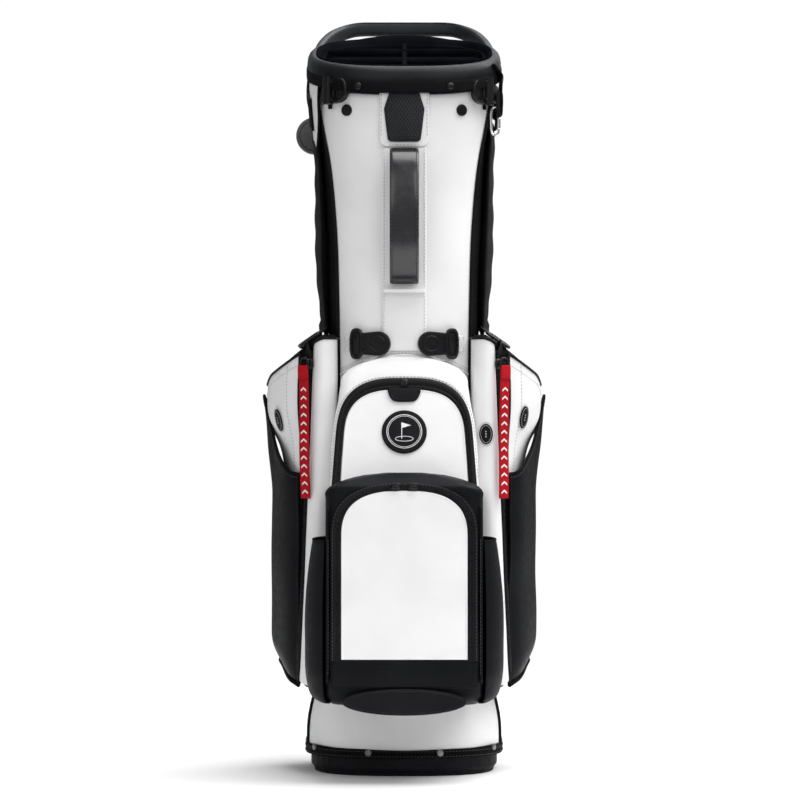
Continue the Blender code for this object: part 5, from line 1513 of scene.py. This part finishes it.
def side_skin(first, last, offset, low=0.0, high=1.0, rows=40, puff=0.0, corner=0):
    """Rows of the side pocket's skin between two columns. corner rounds the last columns' top."""
    surface = []
    for r in range(rows + 1):
        row = []
        for k in range(first, last + 1):
            into = max(0.0, (k - last + corner) / corner) if corner else 0.0
            top = high - 0.020 * (1 - math.sqrt(1 - min(1.0, into) ** 2))
            share = mix(low, top, r / rows)
            outline = side_plan(share)
            swell = puff * math.sin(math.pi * (k - first) / (last - first)) ** 0.6
            swell += wobble(Vector((k * 0.003, 0, share * 0.4)), 0.05, puff * 0.6, 5.0)
            row.append(side_column(share, k, outline, offset + swell))
        surface.append(row)
    return surface


def make_side_pocket(side, name):
    """One side pocket: its body, skins, piping, stitching and badges."""
    shares = ((0.0, 0.10), (0.006, 0.05), (0.012, 0.03), (0.025, 0.01), (0.04, 0.0), (0.12, 0.0), (0.25, 0.0),
              (0.40, 0.0), (0.50, 0.0), (0.62, 0.0), (0.72, 0.0), (0.80, 0.0), (0.865, 0.0), (0.90, 0.0),
              (0.918, 0.0), (0.95, 0.0), (0.975, 0.0), (0.988, 0.015), (0.996, 0.04), (1.0, 0.09))
    rings = []
    for share, shrink in shares:
        z = POCKET_LOW + share * (POCKET_TOP - POCKET_LOW)
        outline = side_outline(z, SIDE_COUNT)
        ring = []
        for k in range(SIDE_COUNT):
            point = side_column(share, k, outline, -0.0010)
            pull = shrink * math.sin(math.pi * k / (SIDE_COUNT - 1)) ** 0.5
            ring.append(Vector((mix(point.x, 0.105, pull), mix(point.y, 0.0, pull), point.z)))
        front_end = angle_at(outline[0].x, z) + 0.03
        for k in range(13):
            angle = mix(0.62, front_end, k / 12)
            tube_x = body_point(angle, z, 0.0028).x
            height = mix(side_low(tube_x), side_top(tube_x), share)
            ring.append(body_point(angle, height, 0.0028))
        rings.append([mirrored(p, side) for p in ring])
    Heap().solid(rings).piece(f"apparel_pocket_{name}", "black_nylon", sharp=70,
                              replaces=f"apparel_pocket_{name}")

    def out(point):
        return Vector((point.x - side * 0.085, point.y, 0))

    strip_rows = [[mirrored(p, side) for p in row] for row in side_skin(
        1, FRONT_STRIP_END, 0.0006, 0.006, 0.990, puff=0.0010, corner=6)]
    heap = Heap()
    heap.grid(strip_rows)
    heap.piece(f"pocket_front_strip_{name}", "white_leatherette", thick=0.0014, soften=1, outward=out)
    outer_rows = [[mirrored(p, side) for p in row]
                  for row in side_skin(OUTER_START, SIDE_COUNT - 3, 0.0004, 0.006, 0.985, puff=0.0016)]
    heap = Heap()
    heap.grid(outer_rows)
    heap.piece(f"pocket_outer_panel_{name}", "white_leatherette", thick=0.0014, soften=1, outward=out)
    pipes = Heap()
    for rows, column, radius in ((strip_rows, 0, 0.0013), (strip_rows, -1, 0.0019), (outer_rows, 0, 0.0017)):
        pipes.solid(sweep([row[column] for row in rows], circle(radius, 10)))
    for rows in (strip_rows, outer_rows):
        pipes.solid(sweep(rows[-1], circle(0.0016, 10)))
    pipes.piece(f"pocket_piping_{name}", "black_leatherette")
    threads = Heap()
    sew(threads, [row[2] for row in strip_rows], out)
    sew(threads, [row[3] for row in outer_rows[12:]], out)
    sew(threads, [mix(a, b, 0.75) for a, b in zip(outer_rows[-3], outer_rows[-2])], out)
    threads.piece(f"pocket_stitching_{name}", "white_thread")
    make_side_zip(side, name)
    make_oval_badge(side, name, outer_rows, (33, 6 if side < 0 else 4), (0.0095, 0.0135))
    if side > 0:
        make_oval_badge(side, "front", strip_rows, (29, 11), (0.0084, 0.0122))


def make_side_zip(side, name):
    """The sunk zip between the front strip and the outer panel, with its teeth."""
    tape = [[mirrored(p, side) for p in row]
            for row in side_skin(FRONT_STRIP_END, OUTER_START, -0.0004, 0.03, 0.955, rows=30)]
    heap = Heap()
    heap.grid(tape)
    heap.piece(f"zip_tape_{name}", "black_webbing", thick=0.0010,
               outward=lambda p: Vector((side * 0.77, -0.64, 0)), replaces=f"apparel_zip_{name}")
    out = Vector((side * 0.77, -0.64, 0))
    middle = [row[len(row) // 2] + out * 0.0006 for row in tape]
    teeth = Heap()
    sew(teeth, middle, out, pitch=0.0021, length=0.0044, radius=0.0008, turn=math.pi / 2)
    teeth.piece(f"zip_teeth_{name}", "black_plastic")
    lips = Heap()
    for shift in (1, -2):
        edge = [row[shift] + out * 0.0004 for row in tape]
        lips.solid(sweep(edge, circle(0.0007, 8)))
    lips.piece(f"zip_lips_{name}", "zip_black")

    box_low, box_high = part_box(f"zip_slider_{name}")
    centre = (box_low + box_high) / 2 - out * 0.0024
    heap = Heap()
    heap.solid(slider_rings(centre, UP, out, 0.0064, 0.0044, 0.0046))
    bridge(heap, centre + out * 0.0036, UP, out, 0.0042, 0.0020)
    heap.piece(f"zip_slider_{name}", "black_plastic", body=f"{name}_zip_slider", sharp=60,
               replaces=f"zip_slider_{name}")


def make_oval_badge(side, name, rows, place, half):
    """A small oval rubber badge with a stitched ring, on the skin of the side pocket."""
    level, column = place
    centre = rows[level][column]
    up = (rows[level + 2][column] - rows[level - 2][column]).normalized()
    across = (rows[level][column + 2] - rows[level][column - 2]).normalized()
    out = across.cross(up)
    if out.dot(Vector((side * 0.3, -1, 0))) < 0:
        out = -out
    across = up.cross(out)
    turn = Matrix((
        (across.x, up.x, out.x, centre.x), (across.y, up.y, out.y, centre.y),
        (across.z, up.z, out.z, centre.z), (0, 0, 0, 1))) @ Matrix.Translation((0, 0, 0.0003))
    oval = [Vector((*superellipse(2 * math.pi * k / 48, *half, power=2.0),)) for k in range(48)]
    plate(f"oval_badge_{name}", oval, 0.0014, turn, "black_rubber", crown=0.0006, edge=0.0006)
    mark = Heap()
    ring = flat_path(inset(oval, 0.0020), turn, 0.0016)
    mark.solid(sweep(ring, circle(0.0002, 6), closed=True), closed=True)
    for height in (-0.0030, 0.0, 0.0030):
        stud(mark, turn @ Vector((0, height, 0.0018)), out, 0.0009, 0.0005)
    mark.piece(f"oval_badge_mark_{name}", "grey_print")
    threads = Heap()
    sew(threads, flat_path([*inset(oval, -0.0016), inset(oval, -0.0016)[0]], turn, 0.0002), out, pitch=0.0022,
        length=0.0017, radius=0.0004)
    threads.piece(f"oval_badge_stitching_{name}", "white_thread")


SLEEVE_TOP = (
    (0.0, 0.3570), (0.12, 0.3590), (0.25, 0.3690), (0.40, 0.3890), (0.50, 0.4090), (0.59, 0.4350),
    (0.65, 0.4490), (0.70, 0.4470), (0.75, 0.4080), (0.82, 0.3740), (1.0, 0.3620),
)
SLEEVE_LOW = ((0.0, 0.1050), (0.20, 0.1120), (0.50, 0.1260), (1.0, 0.1300))


def make_bottle_sleeve(side, name):
    """The open sleeve on the outside of one side pocket."""
    outline = side_outline(0.25, 89)
    start = 35
    end = next(i for i, p in enumerate(outline) if i > start and p.y > 0.0760)
    path, outward = [], []
    for i in range(start, end):
        ahead = (outline[i + 1] - outline[i - 1]).normalized()
        path.append(Vector((side * outline[i].x, outline[i].y, 0)))
        outward.append(Vector((side * ahead.y, -ahead.x)))

    def depth(s):
        return 0.0012 + 0.0215 * math.sin(math.pi * 0.93 * s) ** 1.1

    def top(s):
        return profile(SLEEVE_TOP, s)

    rows = sleeve_rows(path, outward, depth, lambda s: profile(SLEEVE_LOW, s), top, 0.0020, levels=30)
    for row in rows:
        for k, point in enumerate(row):
            flare = 0.0070 * min(1.0, max(0.0, (point.z - 0.375) / 0.075))
            rearward = min(1.0, max(0.0, (point.y - 0.005) / 0.020))
            flare += 0.0045 * rearward * min(1.0, max(0.0, (point.z - 0.340) / 0.040))
            lift = flare + wobble(point, 0.06, 0.0016, side * 3.0) - 0.0004
            row[k] = point + from_axis(point).normalized() * lift
    heap = Heap()
    heap.grid(rows)
    heap.piece(f"bottle_sleeve_{name}", "black_leatherette", replaces=f"bottle_sleeve_{name}", thick=0.0022,
               soften=1, outward=from_axis)
    rim = [p - from_axis(p).normalized() * 0.0011 for p in rows[-1]]
    tube(f"sleeve_binding_{name}", rim, 0.0019, "black_nylon")
    tube(f"sleeve_seam_{name}", [row[0] for row in rows], 0.0018, "black_leatherette")
    floor = []
    for t in (0.0, 0.5, 0.95):
        floor.append([Vector((*mix(Vector((p.x, p.y)), Vector((q.x, q.y)), t), q.z + 0.0015))
                      for p, q in zip(path, rows[0])])
    hem = [p + from_axis(p).normalized() * 0.0004 for p in rows[0]]
    tube(f"sleeve_hem_{name}", hem, 0.0028, "black_nylon")
    heap = Heap()
    heap.grid(floor)
    heap.piece(f"sleeve_floor_{name}", "black_leatherette", thick=0.0020, outward=lambda p: -UP)
    threads = Heap()
    sew(threads, [p + from_axis(p).normalized() * 0.0002 for p in
                  [mix(a, b, 0.5) for a, b in zip(rows[-2], rows[-1])]], from_axis_unit)
    threads.piece(f"sleeve_stitching_{name}", "black_thread")


def from_axis_unit(point):
    return from_axis(point).normalized()


def make_ribbon(side, name):
    """The red pull on the side zip: a folded ribbon on a small ring, with plain printed marks."""
    box_low, box_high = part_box(f"red_ribbon_{name}")
    at = (box_low + box_high) / 2
    at.z = box_low.z + 0.1655
    body = f"{name}_ribbon"
    ring = Heap()
    loop = loop_path(at + Vector((0, 0, 0.0020)), Vector((side * 0.77, 0.64, 0)), UP, 0.0060, 0.0075)
    ring.solid(sweep(loop, circle(0.0012, 10), closed=True), closed=True)
    ring.piece(f"pull_ring_{name}", "black_plastic", body=body)
    low, top, half = at.z - 0.1570, at.z + 0.0010, 0.0068
    width = Vector((side * 0.80, 0.60, 0))
    front = Vector((side * 0.60, -0.80, 0))

    def place(u, z, lift=0.0):
        share = (z - low) / (top - low)
        pinch = 1.0 - 0.10 * max(0.0, (share - 0.95) / 0.05) ** 2
        wave = 0.0012 * math.sin(share * 7.0 + side) * (1 - share)
        lean = Vector((side * (0.0022 * share - 0.0008), 0, 0))
        middle = Vector((at.x, at.y, z)) + lean
        return middle + width * (u * half * pinch) + front * (wave + lift + 0.0003 * u * math.sin(share * 5))

    rows = [[place(u, mix(low, top, r / 48)) for u in np.linspace(-1, 1, 9)] for r in range(49)]
    heap = Heap()
    heap.grid(rows)
    obj = heap.piece(f"red_ribbon_{name}", "red_webbing", body=body, replaces=f"red_ribbon_{name}",
                     thick=0.0014,
                     outward=lambda p: FRONT)
    fold = Heap()
    flap = top - 0.0165
    fold.grid([[place(u * mix(1.02, 1.12, r / 8), mix(flap, top, r / 8), 0.0016)
                for u in np.linspace(-1, 1, 9)]
               for r in range(9)])
    fold.piece(f"ribbon_fold_{name}", "red_webbing", body=body, thick=0.0012, outward=lambda p: FRONT)
    threads = Heap()
    sew(threads, [place(u, flap + 0.0018, 0.0018) for u in np.linspace(-0.85, 0.85, 7)], front, pitch=0.0020,
        length=0.0015, radius=0.0003)
    threads.piece(f"ribbon_stitching_{name}", "red_webbing", body=body)
    marks = Heap()
    count = 13
    for k in range(count):
        z = mix(low + 0.0070, flap - 0.0130, k / (count - 1))
        shape = ((-0.60, -0.0016), (0.0, 0.0016), (0.60, -0.0016), (0.60, 0.0004), (0.0, 0.0036),
                 (-0.60, 0.0004))
        for a, b in ((0, 1), (1, 2)):
            corners = [shape[a], shape[b], shape[(5 - b)], shape[(5 - a)]]
            outline = [mix(Vector(corners[j]), Vector(corners[(j + 1) % 4]), t / 4)
                       for j in range(4) for t in range(4)]
            rings = [[place(p.x, z + p.y, lift) for p in outline] for lift in (-0.0002, 0.0004)]
            marks.solid(rings)
    marks.piece(f"ribbon_marks_{name}", "white_print", body=body, sharp=50)


# ---- shoulder straps ---------------------------------------------------------------------
def side_angle(side, angle):
    return angle if side > 0 else math.pi - angle


PAD_STAND = ((0.52, 0.0068), (0.545, 0.0092), (0.60, 0.0130), (0.66, 0.0125), (0.70, 0.0105),
             (0.75, 0.0085), (0.80, 0.0075))


def pad_rings(side, first_of, last_of, shares, inner, rows=44, columns=22, power=3.0):
    """Rings of a soft pad round the tube's side: its cross-section is a long rounded form."""
    rings = []
    for r in range(rows + 1):
        t = r / rows
        share = mix(*shares, t)
        first, last = first_of(t), last_of(t)
        fullness = min(1.0, (math.sin(math.pi * mix(0.02, 0.98, t)) * 3.2)) ** 0.5
        ring = []
        for k in range(columns * 2):
            u, v = superellipse(2 * math.pi * (k + 0.5) / (columns * 2), 1.0, 1.0, power=power)
            angle = side_angle(side, mix(first, last, (u + 1) / 2))
            z = body_height(share, angle)
            quilt = 0.0011 * math.sin(t * 21 + u * 2.2) * math.sin(t * 17 - u * 2.6) if v > 0 else 0.0
            outer = profile(PAD_STAND, z) + quilt
            middle, half = (inner + outer) / 2, (outer - inner) / 2
            depth = middle + half * v * (fullness if v > 0 else 1.0)
            ring.append(body_point(angle, z, depth))
        rings.append(ring)
    return rings


def make_strap(side, name):
    """One shoulder strap: its pad, cover, webbing and buckle."""
    def first(t):
        return -0.30 + 0.03 * math.sin(t * 9.5 + side) * (1 - t)

    def last(t):
        return 0.52 - 0.03 * math.sin(t * 7.0)

    rings = pad_rings(side, first, last, (0.618, 0.925), 0.0020, rows=90, columns=26)
    pad = Heap().solid(rings).piece(f"strap_pad_{name}", "black_mesh", replaces=f"strap_pad_{name}", sharp=80)
    edge = Heap()
    for t_of in (first, last):
        path = []
        for k in range(50):
            t = mix(0.02, 0.98, k / 49)
            angle = side_angle(side, t_of(t))
            share = mix(0.618, 0.925, t)
            z = body_height(share, angle)
            path.append(body_point(angle, z, 0.0010 + profile(PAD_STAND, z) / 2))
        edge.solid(sweep(path, circle(0.0017, 10)))
    edge.piece(f"strap_binding_{name}", "black_nylon")

    yoke = []
    for r in range(13):
        share = mix(0.930, 0.975, r / 12)
        yoke.append([body_point(side_angle(side, mix(-0.26, 0.50, c / 30)),
                                body_height(share, side_angle(side, mix(-0.26, 0.50, c / 30))),
                                0.0098 + 0.0006 * math.sin(math.pi * c / 30)) for c in range(31)])
    heap = Heap()
    heap.grid(yoke)
    heap.piece(f"strap_yoke_{name}", "black_nylon", replaces=f"strap_yoke_{name}", thick=0.0026, soften=1,
               outward=from_axis)
    pipes = Heap()
    for row in (yoke[0], yoke[-1]):
        pipes.solid(sweep([p - body_normal(p) * 0.0010 for p in row], circle(0.0015, 10)))
    pipes.piece(f"yoke_piping_{name}", "black_leatherette")
    if side < 0:
        make_strap_cover(side)
    make_strap_web(side, name)


COVER_FRONT = ((0.722, -0.15), (0.745, -0.30), (0.757, -0.38), (0.781, -0.47), (0.805, -0.50), (0.838, -0.60))
COVER_REAR = ((0.722, -0.11), (0.745, -0.08), (0.757, -0.04), (0.781, 0.02), (0.805, -0.04), (0.838, -0.22))


def make_strap_cover(side):
    """The white leather facing down the front edge of the left strap, between two pipings."""
    rows = []
    for r in range(45):
        z = mix(0.722, 0.838, r / 44)
        first, last = profile(COVER_FRONT, z), profile(COVER_REAR, z)
        offset = mix(0.0078, 0.0070, r / 44)
        rows.append([body_point(side_angle(side, mix(first, last, c / 8)), z, offset) for c in range(9)])
    heap = Heap()
    heap.grid(rows)
    heap.piece("strap_cover_left", "white_leatherette", thick=0.0016, soften=1, outward=from_axis)
    pipes = Heap()
    for column in (0, -1):
        pipes.solid(sweep([row[column] for row in rows], circle(0.0013, 10)))
    pipes.piece("strap_cover_piping", "black_leatherette")


def make_strap_web(side, name):
    """The webbing below the pad and the ladder buckle that joins it to the side pocket's top."""
    centre = Vector((side * 0.1115, -0.0480, 0.5160))
    length = Vector((side * 0.80, -0.16, -0.56)).normalized()
    width = Vector((side * 0.16, 0.98, 0))
    width = (width - length * length.dot(width)).normalized()
    out = length.cross(width)
    if out.z < 0:
        out = -out
    upper = smooth_through([
        mirrored(body_point(0.16, 0.5440, 0.0095), side), Vector((side * 0.0990, -0.004, 0.5330)),
        Vector((side * 0.0985, -0.030, 0.5290)), centre - length * 0.0125 + out * 0.0015,
        centre + out * 0.0010,
    ], 30)
    lower = smooth_through([
        centre + out * 0.0005, centre + length * 0.0080 - out * 0.0010,
        Vector((side * 0.1150, -0.0700, 0.5060)),
        Vector((side * 0.1100, -0.0800, 0.4960)),
    ], 24)
    web = Heap()
    for path in (upper, lower):
        rings = []
        for i, point in enumerate(path):
            along = (path[min(i + 1, len(path) - 1)] - path[max(i - 1, 0)]).normalized()
            across = (width - along * along.dot(width)).normalized()
            normal = along.cross(across)
            rings.append([point + across * u + normal * v for u, v in rounded(0.0095, 0.0009, 6.0, 16)])
        web.solid(rings)
    web.piece(f"strap_web_{name}", "black_webbing")
    turn = Matrix((
        (length.x, width.x, out.x, centre.x), (length.y, width.y, out.y, centre.y),
        (length.z, width.z, out.z, centre.z), (0, 0, 0, 1)))
    buckle = Heap()
    edge = [turn @ Vector((x, y, 0.0016)) for x, y in rounded(0.0140, 0.0118, 4.5, 44)]
    buckle.solid(sweep(edge, rounded(0.0019, 0.0030, 3.0, 12), closed=True), closed=True)
    for x in (-0.0070, 0.0000, 0.0070):
        rung = [turn @ Vector((x, y, 0.0022)) for y in np.linspace(-0.0108, 0.0108, 7)]
        buckle.solid(sweep(rung, circle(0.0018, 10)))
    buckle.piece(f"strap_buckle_{name}", "black_plastic", sharp=50)


def make_hip_pad():
    """The pad between the legs and its two straps."""
    low, high = 0.405, 0.735
    rings = []
    for k in range(61):
        share = k / 60
        z = mix(low, high, share)
        swell = (1.0 - abs(2 * share - 1) ** 7) ** 0.5
        channel = 1.0 - 0.20 * sum(math.exp(-((share - s) / 0.014) ** 2) for s in (0.25, 0.5, 0.75))
        half = 0.0462 * (0.80 + 0.20 * swell)
        ring = []
        for m in range(44):
            u, v = superellipse(2 * math.pi * (m + 0.5) / 44, half, 1.0, power=3.4)
            thick = 0.0098 * (0.25 + 0.75 * swell) * (channel if v > 0 else 1.0)
            centre = 0.1222 + 0.0098
            ring.append(Vector((u, centre + (v * thick if v > 0 else v * 0.0096 * swell), z)))
        rings.append(ring)
    pad = Heap().solid(rings).piece("hip_pad", "black_mesh", replaces="hip_pad", sharp=80)
    edge = []
    for k in range(96):
        u, v = superellipse(2 * math.pi * k / 96, 0.0455, (high - low) / 2 - 0.002, power=6.0)
        edge.append(Vector((u, 0.1318, (low + high) / 2 + v)))
    tube("hip_pad_binding", edge, 0.0022, "black_nylon", closed=True)
    straps = Heap()
    for z0, z1 in ((0.4300, 0.4700), (0.6600, 0.7000)):
        depth = max(profile(BODY_HALF_DEPTH, z0), profile(BODY_HALF_DEPTH, z1))
        path = []
        for x in np.linspace(-0.0190, 0.0190, 21):
            bow = math.cos(x / 0.0190 * math.pi / 2) ** 2
            path.append(Vector((x, mix(depth + 0.0012, 0.1236, bow), (z0 + z1) / 2)))
        straps.solid(sweep(path, rounded(0.0008, 0.0190, 6.0, 16), up=UP))
    straps.piece("hip_pad_straps", "black_webbing")


def make_accessories():
    """The magnetic disc on the left and the hook on the right."""
    z = 0.776
    centre = Vector((-0.1105, 0.0860, z - 0.004))
    turn = Matrix.Translation(centre + Vector((0, 0.0075, 0))) @ Matrix.Rotation(math.pi / 2, 4, "X")
    disc = [Vector(p) for p in circle(0.0230, 64)]
    plate("magnetic_disc", disc, 0.0072, turn, "smoke_plastic", crown=0.0010, edge=0.0020,
          replaces="magnetic_disc")
    marks = Heap()
    face = turn @ Matrix.Translation((0, 0, 0.0082))
    ring = [face @ Vector((*p, -0.0003)) for p in circle(0.0185, 64)]
    marks.solid(sweep(ring, circle(0.0003, 6), closed=True), closed=True)
    marks.piece("disc_mark", "black_plastic")
    tip = mirrored(body_point(0.60, z + 0.012, 0.0010), -1)
    top = Vector((-0.1060, 0.0885, z + 0.019))
    tube("disc_hanger", [top, mix(top, tip, 0.5), tip], 0.0022, "black_nylon")
    hanger = smooth_through([
        Vector((-0.1165, 0.0020, 0.8290)), Vector((-0.1180, 0.0350, 0.8170)),
        Vector((-0.1150, 0.0720, 0.8020)),
        Vector((-0.1125, 0.0860, 0.7920))], 24)
    Heap().solid(sweep(hanger, rounded(0.0012, 0.0060, 4.0, 14), up=UP)).piece("disc_strap", "black_webbing")
    angle, z = -0.45, 0.799
    loop = body_point(angle, z, 0.0178)
    outward = (loop - body_point(angle, z)).normalized()
    along = Vector((-outward.y, outward.x, 0))
    heap = Heap()
    heap.solid(sweep(loop_path(loop, along, UP, 0.0060, 0.0150), rounded(0.0011, 0.0024, 3.0, 12),
                     closed=True,
                     up=None), closed=True)
    heap.piece("accessory_loop", "black_webbing", replaces="accessory_loop")
    hinge = loop - Vector((0, 0, 0.0150)) - outward * 0.0060 + UP * 0.0080
    hook = Heap()
    ring = loop_path(hinge + Vector((0, 0, 0.0034 - 0.0170)), outward, UP, 0.0050, 0.0170)
    hook.solid(sweep(ring, circle(0.0015, 12), closed=True), closed=True)
    gate = [hinge + outward * 0.0050 + UP * h for h in np.linspace(-0.0235, -0.0095, 7)]
    hook.solid(sweep(gate, circle(0.0019, 12)))
    hook.piece("accessory_hook", "chrome", body="accessory_hook", replaces="accessory_hook")


# ---- carried-over CAD nodes --------------------------------------------------------------
KEPT = {
    "rubber_sole": "black_rubber", "base_boot": "black_rubber", "top_divider": "lining",
    "stay_rod_left": "black_aluminium", "stay_rod_right": "black_aluminium", "leg_mount": "black_plastic",
    "leg_tube_left": "black_aluminium", "leg_tube_right": "black_aluminium", "leg_foot_left": "black_rubber",
    "leg_foot_right": "black_rubber", "push_rod": "steel", "rod_guide": "black_plastic",
    "foot_lever": "black_rubber",
}


def finish_kept_nodes():
    """New looks for the CAD pieces that stay as they are."""
    for node, finish in KEPT.items():
        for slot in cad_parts[node].material_slots:
            slot.material = LOOKS[finish]


def main():
    make_stage()
    make_tube()
    make_collar()
    make_dividers()
    make_hem()
    make_spine()
    make_valuables_pocket()
    make_ball_pocket()
    for side, name in SIDES:
        make_lower_clip(side, name)
        make_upper_clip(side, name)
        make_side_pocket(side, name)
        make_bottle_sleeve(side, name)
        make_ribbon(side, name)
        make_strap(side, name)
    make_hip_pad()
    make_accessories()
    finish_kept_nodes()


main()

visual_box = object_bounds()
boxes = {"cad": CAD_BOX, "visual": visual_box}
{name: [list(corner) for corner in box] for name, box in boxes.items()}
